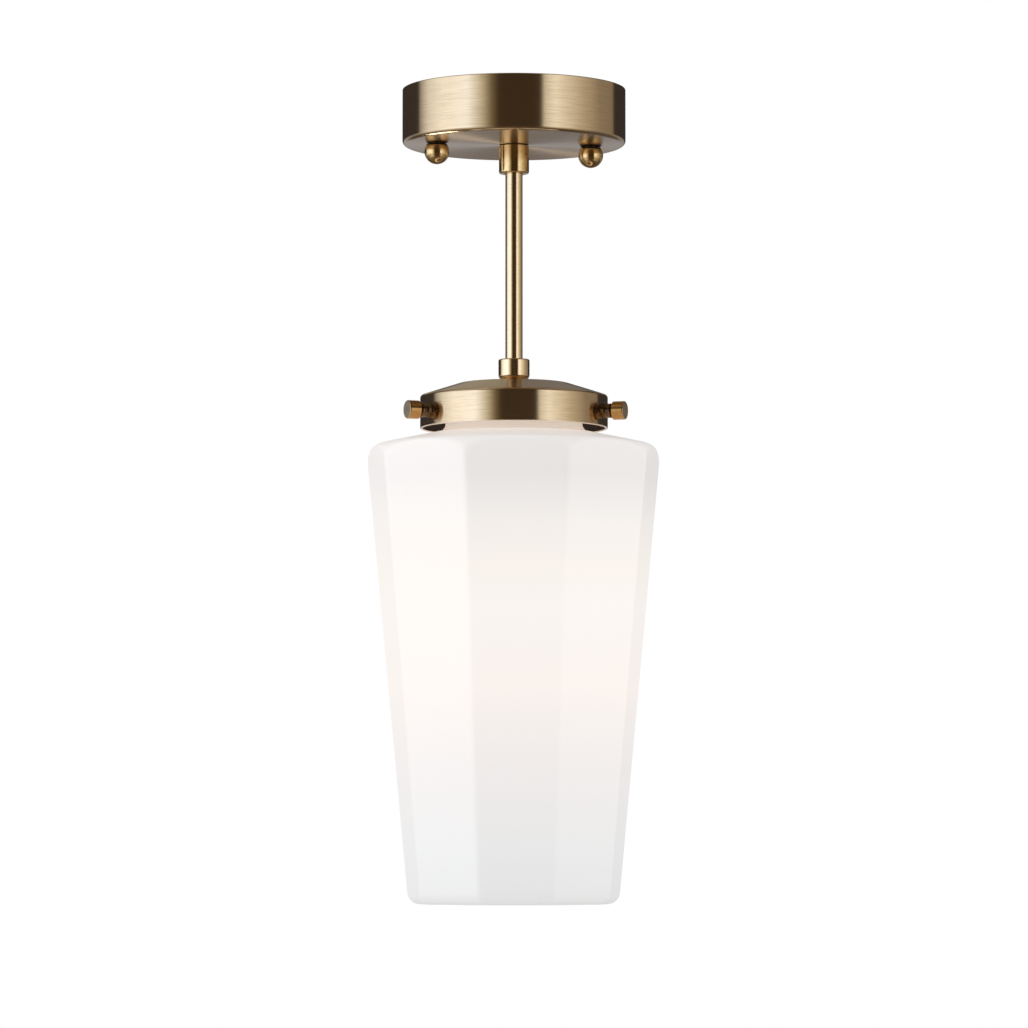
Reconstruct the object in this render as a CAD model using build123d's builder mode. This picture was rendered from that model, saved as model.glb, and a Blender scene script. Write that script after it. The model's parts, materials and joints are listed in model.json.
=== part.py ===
"""Pendant light with a round ceiling canopy, a rigid stem and a nine-sided glass shade.

Millimetres, +Z up. The origin is on the stem's axis in the ceiling plane, so the
light hangs down from z = 0. The shade's front facet looks along -Y.
"""

import os
from math import cos, radians, sin, tan

from build123d import *

os.makedirs("parts", exist_ok=True)

# Fits and clearances
running_gap = 0.05
screw_gap = 0.075
seat_gap = 0.3
hole_gap = 0.4

# Ceiling strap
strap_length = 110.0
strap_width = 16.0
strap_thickness = 1.6
strap_corner_radius = 4.0
box_hole_spacing = 88.9
box_slot_length = 16.0
box_slot_width = 4.6
hub_outer = 13.0
hub_bore = 10.4
hub_drop = 4.6
retainer_outer = 19.0
retainer_thickness = 1.0

# Canopy bar, turned against the strap, and its two studs
bar_length = 103.0
bar_width = 16.0
bar_thickness = 1.6
bar_corner_radius = 4.0
bar_turn = 9.0
bar_slot_length = 18.0
bar_slot_width = 4.6
bar_slot_centre = 24.0
stud_spacing = 88.9
stud_diameter = 4.17
stud_in_nut = 8.7
stud_end_chamfer = 0.5
stud_nut_flats = 8.73
stud_nut_height = 3.2
ground_screw_diameter = 4.17
ground_screw_head = 8.4
ground_screw_head_height = 2.6
ground_screw_slot = 1.2
ground_screw_position = -24.0

# Canopy
canopy_diameter = 127.0
canopy_height = 31.75
canopy_wall = 1.0
canopy_edge_radius = 2.5
canopy_washer_diameter = 32.0
canopy_washer_thickness = 1.5

# Ball nuts under the canopy
ball_diameter = 13.6
ball_seat_diameter = 9.8
ball_bore_depth = 9.6

# Threaded tube, nuts and washers of the stem
tube_diameter = 9.8
tube_bore = 7.4
tube_above_nut = 3.2
hex_flats = 14.0
hex_height = 3.2
lock_washer_diameter = 17.0
lock_washer_thickness = 1.0
lock_washer_teeth = 12
lock_notch_width = 1.6
lock_notch_depth = 1.8
collar_diameter = 17.1
collar_height = 16.3
collar_thread = 5.0
collar_mouth = 10.8
collar_edge_radius = 1.0

# Stem tube and the coupling that it screws into
stem_below_collar = 106.05
coupling_diameter = 17.65
coupling_height = 11.5
coupling_top_radius = 0.8
coupling_bottom_radius = 2.4
coupling_thread = 5.6
coupling_gap = 0.5
seat_washer_diameter = 13.0
seat_washer_thickness = 2.4

# Fitter cap: flat top, sloping shoulder and upright band
band_diameter = 106.4
band_height = 18.5
cap_slope_height = 7.1
cap_flat_radius = 31.0
cap_wall = 1.0
cap_flat_edge_radius = 7.0
cap_band_edge_radius = 1.6
cap_hem_radius = 0.4

# Three set screws that hold the glass, and their bushings on the band
screw_azimuths = (-65.5, 69.0, 181.75)
screw_height = 8.5
screw_diameter = 3.95
screw_head_diameter = 10.4
screw_head_length = 5.7
screw_head_radius = 66.3
screw_head_chamfer = 0.7
bushing_diameter = 8.2
bushing_spigot = 6.0
bushing_reach = 5.3
bushing_inside = 0.4
bushing_chamfer = 0.5

# Opal glass shade
shade_sides = 9
shade_wall = 3.2
lip_diameter = 98.4
lip_height = 5.0
lip_edge_radius = 1.2
neck_diameter = 77.6
neck_drop = 11.3
neck_radius = 5.0
shoulder_angle = 13.0
shoulder_radius = 12.0
shade_top_radius = 85.2
shade_bottom_radius = 60.7
shade_body_height = 266.9
shade_corner_radius = 5.0
shade_bottom_edge = 4.6
shade_crown = 1.9
shade_crown_radius = 52.0

# Lampholder
tube_below_cap = 30.0
bracket_length = 34.0
bracket_width = 13.0
bracket_thickness = 1.2
bracket_corner_radius = 3.2
bracket_collar_diameter = 13.0
bracket_collar_height = 3.0
bracket_screw_spacing = 26.0
bracket_screw_diameter = 3.0
bracket_screw_head = 5.6
bracket_screw_head_height = 2.0
bracket_screw_length = 10.0
porcelain_diameter = 38.0
porcelain_height = 46.0
porcelain_edge_radius = 2.0
porcelain_bore_depth = 26.0
terminal_pocket_width = 14.0
terminal_pocket_depth = 10.0
terminal_position = 12.0
terminal_head_diameter = 7.0
terminal_head_height = 2.4
terminal_screw_diameter = 3.5
terminal_screw_length = 6.0
terminal_slot = 1.0
socket_bore = 26.4
socket_wall = 0.5
socket_length = 22.0
socket_flange_hole = 15.0
contact_length = 13.0
contact_width = 5.0
contact_thickness = 0.6
contact_rise = 1.2
contact_flat = 4.0

# Bulb
bulb_diameter = 60.0
bulb_length = 106.0
bulb_neck_diameter = 24.6
bulb_glass_wall = 0.8
bulb_neck_end = 31.0
bulb_bulge_angle = 25.0
bulb_cap_diameter = 25.8
bulb_cap_wall = 0.4
bulb_cap_length = 21.0
bulb_insulator_height = 3.0
bulb_insulator_top = 11.0
bulb_contact_diameter = 9.4
bulb_contact_height = 1.0
bulb_mount_foot = 17.0
bulb_mount_foot_height = 3.0
bulb_mount_rod = 4.4
bulb_mount_length = 44.0
filament_ring_radius = 9.0
filament_wire = 0.9
filament_opening = 70.0
bulb_travel_gap = 0.3

# Leads, ground lug and twist-on connectors inside the canopy
lead_diameter = 2.2
lead_offset = 1.9
lead_top_radius = 7.0
lead_bottom_radius = 3.0
lead_rise = 9.0
lead_end_radius = 27.0
lead_azimuths = (50.0, 130.0)
lug_diameter = 17.0
lug_thickness = 0.8
lug_tongue_width = 5.0
lug_barrel_diameter = 3.6
lug_barrel_start = 11.5
lug_barrel_end = 17.5
ground_lead_radius = 30.0
ground_lead_bend = 5.0
ground_lead_rise = 13.5
connector_mouth = 9.6
connector_crown = 6.6
connector_length = 17.0
connector_bore = 4.6
connector_bore_depth = 8.0

# Heights that follow from the sizes above
strap_bottom = -strap_thickness
bar_top = strap_bottom - running_gap
bar_bottom = bar_top - bar_thickness
retainer_top = bar_bottom - running_gap
canopy_bottom = -canopy_height
canopy_floor = canopy_bottom + canopy_wall
washer_top = canopy_floor + canopy_washer_thickness
lug_top = washer_top + lug_thickness
lock_washer_top = lug_top + lock_washer_thickness
stem_nut_top = lock_washer_top + hex_height
stem_top = stem_nut_top + tube_above_nut
stud_bottom = canopy_bottom - stud_in_nut
collar_bottom = canopy_bottom - collar_height
coupling_top = collar_bottom - stem_below_collar
coupling_bottom = coupling_top - coupling_height
stem_bottom = coupling_top - coupling_thread
fitter_tube_top = stem_bottom - coupling_gap
cap_top = coupling_bottom - seat_washer_thickness
cap_underside = cap_top - cap_wall
band_top = cap_top - cap_slope_height
band_bottom = band_top - band_height
fitter_washer_bottom = cap_underside - lock_washer_thickness
fitter_nut_bottom = fitter_washer_bottom - hex_height
screw_z = band_bottom + screw_height
lip_bottom = screw_z + screw_diameter / 2 + seat_gap
lip_top = lip_bottom + lip_height
shoulder_start = lip_bottom - neck_drop
shade_floor = shoulder_start - shade_body_height
porcelain_top = cap_underside - tube_below_cap
bracket_top = porcelain_top + bracket_thickness
porcelain_bottom = porcelain_top - porcelain_height
bore_top = porcelain_bottom + porcelain_bore_depth
contact_bottom = bore_top - contact_thickness - contact_rise
bulb_top = contact_bottom - bulb_travel_gap
insulator_top = bulb_top - bulb_contact_height
bulb_cap_top = insulator_top - bulb_insulator_height
bulb_tip = bulb_top - bulb_length
bulb_centre = bulb_tip + bulb_diameter / 2
bulb_neck_top = bulb_cap_top - bulb_travel_gap
bulb_neck_bottom = bulb_top - bulb_neck_end

band_radius = band_diameter / 2
stud_radius = stud_spacing / 2
ball_drop = ((ball_diameter / 2) ** 2 - (ball_seat_diameter / 2) ** 2) ** 0.5
screw_hole = screw_diameter + 2 * screw_gap
neck_outer = neck_diameter / 2


def turned_plane(angle, z):
    """A horizontal plane at height z whose x axis is turned by angle about the stem."""
    return Plane(origin=(0, 0, z), x_dir=(cos(radians(angle)), sin(radians(angle)), 0), z_dir=(0, 0, 1))


def radial_plane(azimuth, radius, z):
    """An upright plane at a radius, facing outwards; azimuth 0 is the front, -Y."""
    outwards = Vector(sin(radians(azimuth)), -cos(radians(azimuth)), 0)
    return Plane(origin=outwards * radius + Vector(0, 0, z), x_dir=(0, 0, 1), z_dir=outwards)


def reach(edge):
    """How far an edge's centre lies from the stem's axis."""
    return Vector(edge.center().X, edge.center().Y, 0).length


def stud_points():
    """The two stud positions along the canopy bar."""
    return [(-stud_radius, 0), (stud_radius, 0)]


# Strap that is screwed to the ceiling box, with a tubular hub that the canopy bar turns on
with BuildPart() as box_strap:
    with BuildSketch():
        RectangleRounded(strap_width, strap_length, strap_corner_radius)
        with Locations((0, box_hole_spacing / 2), (0, -box_hole_spacing / 2)):
            SlotOverall(box_slot_length, box_slot_width, rotation=90, mode=Mode.SUBTRACT)
        Circle(hub_bore / 2, mode=Mode.SUBTRACT)
    extrude(amount=-strap_thickness)
    with BuildSketch(Plane.XY.offset(strap_bottom)):
        Circle(hub_outer / 2)
        Circle(hub_bore / 2, mode=Mode.SUBTRACT)
    extrude(amount=-hub_drop)
box_strap.part.label = "box_strap"
export_step(box_strap.part, "parts/box_strap.step")

# Push-on ring that keeps the bar on the hub
with BuildPart() as bar_retainer:
    with BuildSketch(Plane.XY.offset(retainer_top)):
        Circle(retainer_outer / 2)
        Circle(hub_outer / 2, mode=Mode.SUBTRACT)
    extrude(amount=-retainer_thickness)
bar_retainer.part.label = "bar_retainer"
export_step(bar_retainer.part, "parts/bar_retainer.step")

# Bar that carries the canopy studs
with BuildPart() as canopy_bar:
    with BuildSketch(turned_plane(bar_turn, bar_top)):
        RectangleRounded(bar_length, bar_width, bar_corner_radius)
        Circle(hub_outer / 2 + running_gap, mode=Mode.SUBTRACT)
        with Locations(stud_points()):
            Circle(stud_diameter / 2, mode=Mode.SUBTRACT)
        with Locations((bar_slot_centre, 0)):
            SlotOverall(bar_slot_length, bar_slot_width, mode=Mode.SUBTRACT)
        with Locations((ground_screw_position, 0)):
            Circle(ground_screw_diameter / 2, mode=Mode.SUBTRACT)
    extrude(amount=-bar_thickness)
canopy_bar.part.label = "canopy_bar"
export_step(canopy_bar.part, "parts/canopy_bar.step")

# Two long studs, threaded through the bar
with BuildPart() as canopy_studs:
    with BuildSketch(turned_plane(bar_turn, bar_top)):
        with Locations(stud_points()):
            Circle(stud_diameter / 2)
    extrude(amount=stud_bottom - bar_top)
    chamfer(canopy_studs.edges().group_by(Axis.Z)[0], stud_end_chamfer)
canopy_studs.part.label = "canopy_studs"
export_step(canopy_studs.part, "parts/canopy_studs.step")

# Hexagon nuts that lock the studs in the bar
with BuildPart() as stud_lock_nuts:
    with BuildSketch(turned_plane(bar_turn, bar_bottom)):
        with Locations(stud_points()):
            RegularPolygon(stud_nut_flats / 2, 6, major_radius=False)
            Circle(stud_diameter / 2, mode=Mode.SUBTRACT)
    extrude(amount=-stud_nut_height)
stud_lock_nuts.part.label = "stud_lock_nuts"
export_step(stud_lock_nuts.part, "parts/stud_lock_nuts.step")

# Ground screw in the bar, for the house's earth wire
with BuildPart() as ground_screw:
    with BuildSketch(turned_plane(bar_turn, bar_top)):
        with Locations((ground_screw_position, 0)):
            Circle(ground_screw_diameter / 2)
    extrude(amount=-bar_thickness)
    with BuildSketch(turned_plane(bar_turn, bar_bottom)):
        with Locations((ground_screw_position, 0)):
            RegularPolygon(ground_screw_head / 2, 6, major_radius=False)
    extrude(amount=-ground_screw_head_height)
    with BuildSketch(turned_plane(bar_turn, bar_bottom - ground_screw_head_height)):
        with Locations((ground_screw_position, 0)):
            Rectangle(2 * ground_screw_head, ground_screw_slot)
    extrude(amount=ground_screw_head_height / 2, mode=Mode.SUBTRACT)
ground_screw.part.label = "ground_screw"
export_step(ground_screw.part, "parts/ground_screw.step")

# Spun canopy, open towards the ceiling
with BuildPart() as canopy:
    with BuildSketch(Plane.XY.offset(canopy_bottom)):
        Circle(canopy_diameter / 2)
    extrude(amount=canopy_height)
    fillet(canopy.edges().sort_by(Axis.Z)[0], canopy_edge_radius)
    offset(amount=-canopy_wall, openings=canopy.faces().sort_by(Axis.Z)[-1])
    with BuildSketch(turned_plane(bar_turn, canopy_floor)):
        Circle(tube_diameter / 2)
        with Locations(stud_points()):
            Circle(stud_diameter / 2 + hole_gap)
    extrude(amount=-canopy_wall, mode=Mode.SUBTRACT)
canopy.part.label = "canopy"
export_step(canopy.part, "parts/canopy.step")

# Wide washer that spreads the light's weight over the canopy floor
with BuildPart() as canopy_washer:
    with BuildSketch(Plane.XY.offset(canopy_floor)):
        Circle(canopy_washer_diameter / 2)
        Circle(tube_diameter / 2, mode=Mode.SUBTRACT)
    extrude(amount=canopy_washer_thickness)
canopy_washer.part.label = "canopy_washer"
export_step(canopy_washer.part, "parts/canopy_washer.step")

# Ring lug for the ground lead, clamped by the stem nut, with its crimp barrel
with BuildPart() as ground_lug:
    with BuildSketch(Plane.XY.offset(washer_top)):
        Circle(lug_diameter / 2)
        with Locations((0, -lug_barrel_start / 2)):
            Rectangle(lug_tongue_width, lug_barrel_start)
        Circle(tube_diameter / 2, mode=Mode.SUBTRACT)
    extrude(amount=lug_thickness)
    with BuildSketch(radial_plane(0, lug_barrel_start, washer_top + lug_barrel_diameter / 2)):
        Circle(lug_barrel_diameter / 2)
    extrude(amount=lug_barrel_end - lug_barrel_start)
    with BuildSketch(Plane.XY.offset(washer_top)):
        with Locations((0, -(lug_barrel_start + lug_barrel_end) / 2)):
            Rectangle(lug_barrel_diameter / 2, lug_barrel_end - lug_barrel_start)
    extrude(amount=lug_thickness)
    with BuildSketch(Plane.XY.offset(washer_top)):
        with Locations((0, -lug_barrel_start)):
            Rectangle(lug_barrel_diameter / 2, lug_barrel_diameter)
    extrude(amount=lug_thickness)
ground_lug.part.label = "ground_lug"
export_step(ground_lug.part, "parts/ground_lug.step")


def toothed_washer(bottom):
    """A lock washer standing on a height, with notches around its rim."""
    with BuildPart() as washer:
        with BuildSketch(Plane.XY.offset(bottom)):
            Circle(lock_washer_diameter / 2)
            with PolarLocations(lock_washer_diameter / 2, lock_washer_teeth):
                Rectangle(2 * lock_notch_depth, lock_notch_width, mode=Mode.SUBTRACT)
            Circle(tube_diameter / 2, mode=Mode.SUBTRACT)
        extrude(amount=lock_washer_thickness)
    return washer.part


# Lock washer and nut that clamp the stem to the canopy
stem_lock_washer = toothed_washer(lug_top)
stem_lock_washer.label = "stem_lock_washer"
export_step(stem_lock_washer, "parts/stem_lock_washer.step")

with BuildPart() as stem_hex_nut:
    with BuildSketch(Plane.XY.offset(lock_washer_top)):
        RegularPolygon(hex_flats / 2, 6, major_radius=False)
        Circle(tube_diameter / 2, mode=Mode.SUBTRACT)
    extrude(amount=hex_height)
stem_hex_nut.part.label = "stem_hex_nut"
export_step(stem_hex_nut.part, "parts/stem_hex_nut.step")

# Turned collar under the canopy, threaded at its top and clear of the stem at its mouth
with BuildPart() as stem_collar:
    with BuildSketch(Plane.XY.offset(canopy_bottom)):
        Circle(collar_diameter / 2)
    extrude(amount=-collar_height)
    fillet(stem_collar.edges().sort_by(Axis.Z)[0], collar_edge_radius)
    with BuildSketch(Plane.XY.offset(canopy_bottom)):
        Circle(tube_diameter / 2)
    extrude(amount=-collar_height, mode=Mode.SUBTRACT)
    with BuildSketch(Plane.XY.offset(collar_bottom)):
        Circle(collar_mouth / 2)
    extrude(amount=collar_height - collar_thread, mode=Mode.SUBTRACT)
stem_collar.part.label = "stem_collar"
export_step(stem_collar.part, "parts/stem_collar.step")

# Stem tube, threaded at both ends, open for the leads
with BuildPart() as stem_tube:
    with BuildSketch(Plane.XY.offset(stem_top)):
        Circle(tube_diameter / 2)
        Circle(tube_bore / 2, mode=Mode.SUBTRACT)
    extrude(amount=stem_bottom - stem_top)
stem_tube.part.label = "stem_tube"
export_step(stem_tube.part, "parts/stem_tube.step")

# Coupling between the stem and the short tube of the fitter
with BuildPart() as fitter_coupling:
    with BuildSketch(Plane.XY.offset(coupling_top)):
        Circle(coupling_diameter / 2)
    extrude(amount=-coupling_height)
    fillet(fitter_coupling.edges().sort_by(Axis.Z)[-1], coupling_top_radius)
    fillet(fitter_coupling.edges().sort_by(Axis.Z)[0], coupling_bottom_radius)
    with BuildSketch(Plane.XY.offset(coupling_top)):
        Circle(tube_diameter / 2)
    extrude(amount=-coupling_height, mode=Mode.SUBTRACT)
fitter_coupling.part.label = "fitter_coupling"
export_step(fitter_coupling.part, "parts/fitter_coupling.step")

# Spacer ring on which the coupling seats
with BuildPart() as seat_washer:
    with BuildSketch(Plane.XY.offset(coupling_bottom)):
        Circle(seat_washer_diameter / 2)
        Circle(tube_diameter / 2, mode=Mode.SUBTRACT)
    extrude(amount=-seat_washer_thickness)
seat_washer.part.label = "seat_washer"
export_step(seat_washer.part, "parts/seat_washer.step")

# Threaded tube that carries the fitter cap and the lampholder
with BuildPart() as fitter_tube:
    with BuildSketch(Plane.XY.offset(fitter_tube_top)):
        Circle(tube_diameter / 2)
        Circle(tube_bore / 2, mode=Mode.SUBTRACT)
    extrude(amount=porcelain_top - fitter_tube_top)
fitter_tube.part.label = "fitter_tube"
export_step(fitter_tube.part, "parts/fitter_tube.step")

# Fitter cap: spun from one sheet, open below, with holes for the tube and the bushings
with BuildPart() as fitter_cap:
    with BuildSketch(Plane.XZ):
        with BuildLine():
            Polyline(
                (0, band_bottom),
                (0, cap_top),
                (cap_flat_radius, cap_top),
                (band_radius, band_top),
                (band_radius, band_bottom),
                close=True,
            )
        make_face()
    revolve(axis=Axis.Z)
    fillet(fitter_cap.edges().group_by(Axis.Z)[-1], cap_flat_edge_radius)
    band_edge = fitter_cap.edges().sort_by(lambda edge: abs(edge.center().Z - band_top))[0]
    fillet(band_edge, cap_band_edge_radius)
    offset(amount=-cap_wall, openings=fitter_cap.faces().sort_by(Axis.Z)[0])
    fillet(fitter_cap.edges().group_by(Axis.Z)[0], cap_hem_radius)
    with BuildSketch(Plane.XY.offset(cap_top)):
        Circle(tube_diameter / 2)
    extrude(amount=-2 * cap_wall, mode=Mode.SUBTRACT)
    for azimuth in screw_azimuths:
        with BuildSketch(radial_plane(azimuth, band_radius / 2, screw_z)):
            Circle(bushing_spigot / 2)
        extrude(amount=band_radius, mode=Mode.SUBTRACT)
fitter_cap.part.label = "fitter_cap"
export_step(fitter_cap.part, "parts/fitter_cap.step")

# Lock washer and nut inside the fitter cap
fitter_lock_washer = toothed_washer(fitter_washer_bottom)
fitter_lock_washer.label = "fitter_lock_washer"
export_step(fitter_lock_washer, "parts/fitter_lock_washer.step")

with BuildPart() as fitter_hex_nut:
    with BuildSketch(Plane.XY.offset(fitter_nut_bottom)):
        RegularPolygon(hex_flats / 2, 6, major_radius=False)
        Circle(tube_diameter / 2, mode=Mode.SUBTRACT)
    extrude(amount=hex_height)
fitter_hex_nut.part.label = "fitter_hex_nut"
export_step(fitter_hex_nut.part, "parts/fitter_hex_nut.step")

# Turned bushings: a spigot through the band and a saddle-footed barrel outside it
bushing_face = band_radius + bushing_reach
spigot_start = band_radius - cap_wall - bushing_inside
with BuildPart() as screw_bushings:
    for azimuth in screw_azimuths:
        with BuildSketch(radial_plane(azimuth, band_radius - cap_wall, screw_z)):
            Circle(bushing_diameter / 2)
        extrude(amount=bushing_reach + cap_wall)
    outer_rims = screw_bushings.edges().filter_by(lambda edge: reach(edge) > bushing_face - running_gap)
    chamfer(outer_rims, bushing_chamfer)
    with BuildSketch(Plane.XY.offset(band_bottom)):
        Circle(band_radius)
    extrude(amount=band_height, mode=Mode.SUBTRACT)
    for azimuth in screw_azimuths:
        with BuildSketch(radial_plane(azimuth, spigot_start, screw_z)):
            Circle(bushing_spigot / 2)
        extrude(amount=bushing_reach)
        with BuildSketch(radial_plane(azimuth, spigot_start, screw_z)):
            Circle(screw_hole / 2)
        extrude(amount=bushing_face, mode=Mode.SUBTRACT)
screw_bushings.part.label = "screw_bushings"
export_step(screw_bushings.part, "parts/screw_bushings.step")

# Set screws: plain barrel heads outside, tips just clear of the glass neck
tip_radius = neck_outer + seat_gap
head_back = screw_head_radius - screw_head_length
for number, azimuth in enumerate(screw_azimuths, start=1):
    with BuildPart() as thumb_screw:
        with BuildSketch(radial_plane(azimuth, head_back, screw_z)):
            Circle(screw_head_diameter / 2)
        extrude(amount=screw_head_length)
        chamfer(thumb_screw.faces().filter_by(GeomType.PLANE).edges(), screw_head_chamfer)
        with BuildSketch(radial_plane(azimuth, tip_radius, screw_z)):
            Circle(screw_diameter / 2)
        extrude(amount=head_back - tip_radius)
    thumb_screw.part.label = "thumb_screw_" + str(number)
    export_step(thumb_screw.part, "parts/thumb_screw_" + str(number) + ".step")


def facet_radius(z):
    """Circumradius of the nine-sided body at a height, along its straight taper."""
    taper = (shade_top_radius - shade_bottom_radius) / (shoulder_corner_z - shade_floor)
    return shade_bottom_radius + taper * (z - shade_floor)


def shoulder_z(radius, inset):
    """Height of the sloping shoulder at a radius, for a surface set in by the glass wall."""
    slope = radians(shoulder_angle)
    return shoulder_start - tan(slope) * (radius - neck_outer) - inset / cos(slope)


shoulder_corner_z = shoulder_z(shade_top_radius, 0)
crown_sphere = (shade_crown_radius ** 2 + shade_crown ** 2) / (2 * shade_crown)


def shade_form(inset):
    """The shade's solid form: nine tapering facets trimmed by a turned neck and shoulder."""
    facet_inset = inset / cos(radians(180 / shade_sides))
    floor = shade_floor + inset
    with BuildPart() as form:
        for z in (floor, lip_top):
            with BuildSketch(Plane.XY.offset(z)) as outline:
                RegularPolygon(facet_radius(z) - facet_inset, shade_sides, rotation=90 / shade_sides)
                fillet(outline.vertices(), shade_corner_radius - inset / 2)
        loft()
        fillet(form.faces().sort_by(Axis.Z)[0].edges(), shade_bottom_edge - inset)
        neck = neck_outer - inset
        side = shade_top_radius - inset
        with BuildSketch(Plane.XZ) as profile:
            with BuildLine():
                Polyline(
                    (0, floor),
                    (0, lip_top),
                    (neck, lip_top),
                    (neck, shoulder_z(neck, inset)),
                    (side, shoulder_z(side, inset)),
                    (side, floor),
                    close=True,
                )
            make_face()
            neck_corner = profile.vertices().sort_by_distance((neck, shoulder_z(neck, inset), 0))[0]
            fillet(neck_corner, neck_radius + inset)
            side_corner = profile.vertices().sort_by_distance((side, shoulder_z(side, inset), 0))[0]
            fillet(side_corner, shoulder_radius - inset)
        revolve(axis=Axis.Z, mode=Mode.INTERSECT)
        with BuildSketch(Plane.XZ):
            with BuildLine():
                crown = RadiusArc((shade_crown_radius, floor), (0, floor - shade_crown), crown_sphere)
                Polyline(crown @ 1, (0, floor), crown @ 0)
            make_face()
        revolve(axis=Axis.Z)
    return form.part


# Glass shade: lip, neck, shoulder, nine facets and a slightly crowned floor
shade_outside = shade_form(0)
shade_inside = shade_form(shade_wall)
with BuildPart() as glass_shade:
    with BuildSketch(Plane.XY.offset(lip_bottom)):
        Circle(lip_diameter / 2)
    extrude(amount=lip_height)
    fillet(glass_shade.edges(), lip_edge_radius)
    add(shade_outside)
    add(shade_inside, mode=Mode.SUBTRACT)
glass_shade.part.label = "glass_shade"
export_step(glass_shade.part, "parts/glass_shade.step")

# Lampholder bracket: a plate with a threaded collar on the end of the fitter tube
with BuildPart() as lampholder_bracket:
    with BuildSketch(Plane.XY.offset(porcelain_top)):
        RectangleRounded(bracket_width, bracket_length, bracket_corner_radius)
        with GridLocations(0, bracket_screw_spacing, 1, 2):
            Circle(bracket_screw_diameter / 2, mode=Mode.SUBTRACT)
    extrude(amount=bracket_thickness)
    with BuildSketch(Plane.XY.offset(bracket_top)):
        Circle(bracket_collar_diameter / 2)
    extrude(amount=bracket_collar_height)
    with BuildSketch(Plane.XY.offset(porcelain_top)):
        Circle(tube_diameter / 2)
    extrude(amount=bracket_thickness + bracket_collar_height, mode=Mode.SUBTRACT)
lampholder_bracket.part.label = "lampholder_bracket"
export_step(lampholder_bracket.part, "parts/lampholder_bracket.step")

# Screws from the bracket into the porcelain
with BuildPart() as bracket_screws:
    with BuildSketch(Plane.XY.offset(bracket_top)):
        with GridLocations(0, bracket_screw_spacing, 1, 2):
            Circle(bracket_screw_head / 2)
    extrude(amount=bracket_screw_head_height)
    with BuildSketch(Plane.XY.offset(bracket_top)):
        with GridLocations(0, bracket_screw_spacing, 1, 2):
            Circle(bracket_screw_diameter / 2)
    extrude(amount=-bracket_screw_length)
bracket_screws.part.label = "bracket_screws"
export_step(bracket_screws.part, "parts/bracket_screws.step")

# Porcelain body with a pocket for the terminals above and the socket's bore below
with BuildPart() as lampholder_body:
    with BuildSketch(Plane.XY.offset(porcelain_bottom)):
        Circle(porcelain_diameter / 2)
    extrude(amount=porcelain_height)
    fillet(lampholder_body.edges().group_by(Axis.Z)[0], porcelain_edge_radius)
    with BuildSketch(Plane.XY.offset(porcelain_top)):
        Rectangle(porcelain_diameter, terminal_pocket_width)
    extrude(amount=-terminal_pocket_depth, mode=Mode.SUBTRACT)
    with BuildSketch(Plane.XY.offset(porcelain_top - terminal_pocket_depth)):
        with GridLocations(2 * terminal_position, 0, 2, 1):
            Circle(terminal_screw_diameter / 2)
    extrude(amount=-terminal_screw_length, mode=Mode.SUBTRACT)
    with BuildSketch(Plane.XY.offset(bracket_top)):
        with GridLocations(0, bracket_screw_spacing, 1, 2):
            Circle(bracket_screw_diameter / 2)
    extrude(amount=-bracket_screw_length, mode=Mode.SUBTRACT)
    with BuildSketch(Plane.XY.offset(porcelain_bottom)):
        Circle(socket_bore / 2 + socket_wall)
    extrude(amount=porcelain_bore_depth, mode=Mode.SUBTRACT)
lampholder_body.part.label = "lampholder_body"
export_step(lampholder_body.part, "parts/lampholder_body.step")

# Terminal screws in the pocket
with BuildPart() as terminal_screws:
    with BuildSketch(Plane.XY.offset(porcelain_top - terminal_pocket_depth)):
        with GridLocations(2 * terminal_position, 0, 2, 1):
            Circle(terminal_head_diameter / 2)
    extrude(amount=terminal_head_height)
    with BuildSketch(Plane.XY.offset(porcelain_top - terminal_pocket_depth)):
        with GridLocations(2 * terminal_position, 0, 2, 1):
            Circle(terminal_screw_diameter / 2)
    extrude(amount=-terminal_screw_length)
    with BuildSketch(Plane.XY.offset(porcelain_top - terminal_pocket_depth + terminal_head_height)):
        with GridLocations(2 * terminal_position, 0, 2, 1):
            Rectangle(terminal_slot, 2 * terminal_head_diameter)
    extrude(amount=-terminal_head_height / 2, mode=Mode.SUBTRACT)
terminal_screws.part.label = "terminal_screws"
export_step(terminal_screws.part, "parts/terminal_screws.step")

# Socket sleeve that the bulb's cap screws into
with BuildPart() as lampholder_sleeve:
    with BuildSketch(Plane.XY.offset(bore_top)):
        Circle(socket_bore / 2 + socket_wall)
        Circle(socket_flange_hole / 2, mode=Mode.SUBTRACT)
    extrude(amount=-socket_wall)
    with BuildSketch(Plane.XY.offset(bore_top)):
        Circle(socket_bore / 2 + socket_wall)
        Circle(socket_bore / 2, mode=Mode.SUBTRACT)
    extrude(amount=-socket_length)
lampholder_sleeve.part.label = "lampholder_sleeve"
export_step(lampholder_sleeve.part, "parts/lampholder_sleeve.step")

# Centre contact: a bent spring strip in the middle of the socket
with BuildPart() as lampholder_contact:
    with BuildSketch(Plane.XZ.offset(-contact_width / 2)):
        with BuildLine():
            spring = Polyline(
                (-contact_length / 2, bore_top),
                (-contact_length / 4, bore_top),
                (-contact_flat / 2, bore_top - contact_rise),
                (contact_flat / 2, bore_top - contact_rise),
                (contact_length / 4, bore_top),
                (contact_length / 2, bore_top),
            )
            lower = Polyline(
                (contact_length / 2, bore_top - contact_thickness),
                (contact_length / 4, bore_top - contact_thickness),
                (contact_flat / 2, contact_bottom),
                (-contact_flat / 2, contact_bottom),
                (-contact_length / 4, bore_top - contact_thickness),
                (-contact_length / 2, bore_top - contact_thickness),
            )
            Line(spring @ 1, lower @ 0)
            Line(lower @ 1, spring @ 0)
        make_face()
    extrude(amount=contact_width)
lampholder_contact.part.label = "lampholder_contact"
export_step(lampholder_contact.part, "parts/lampholder_contact.step")

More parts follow.
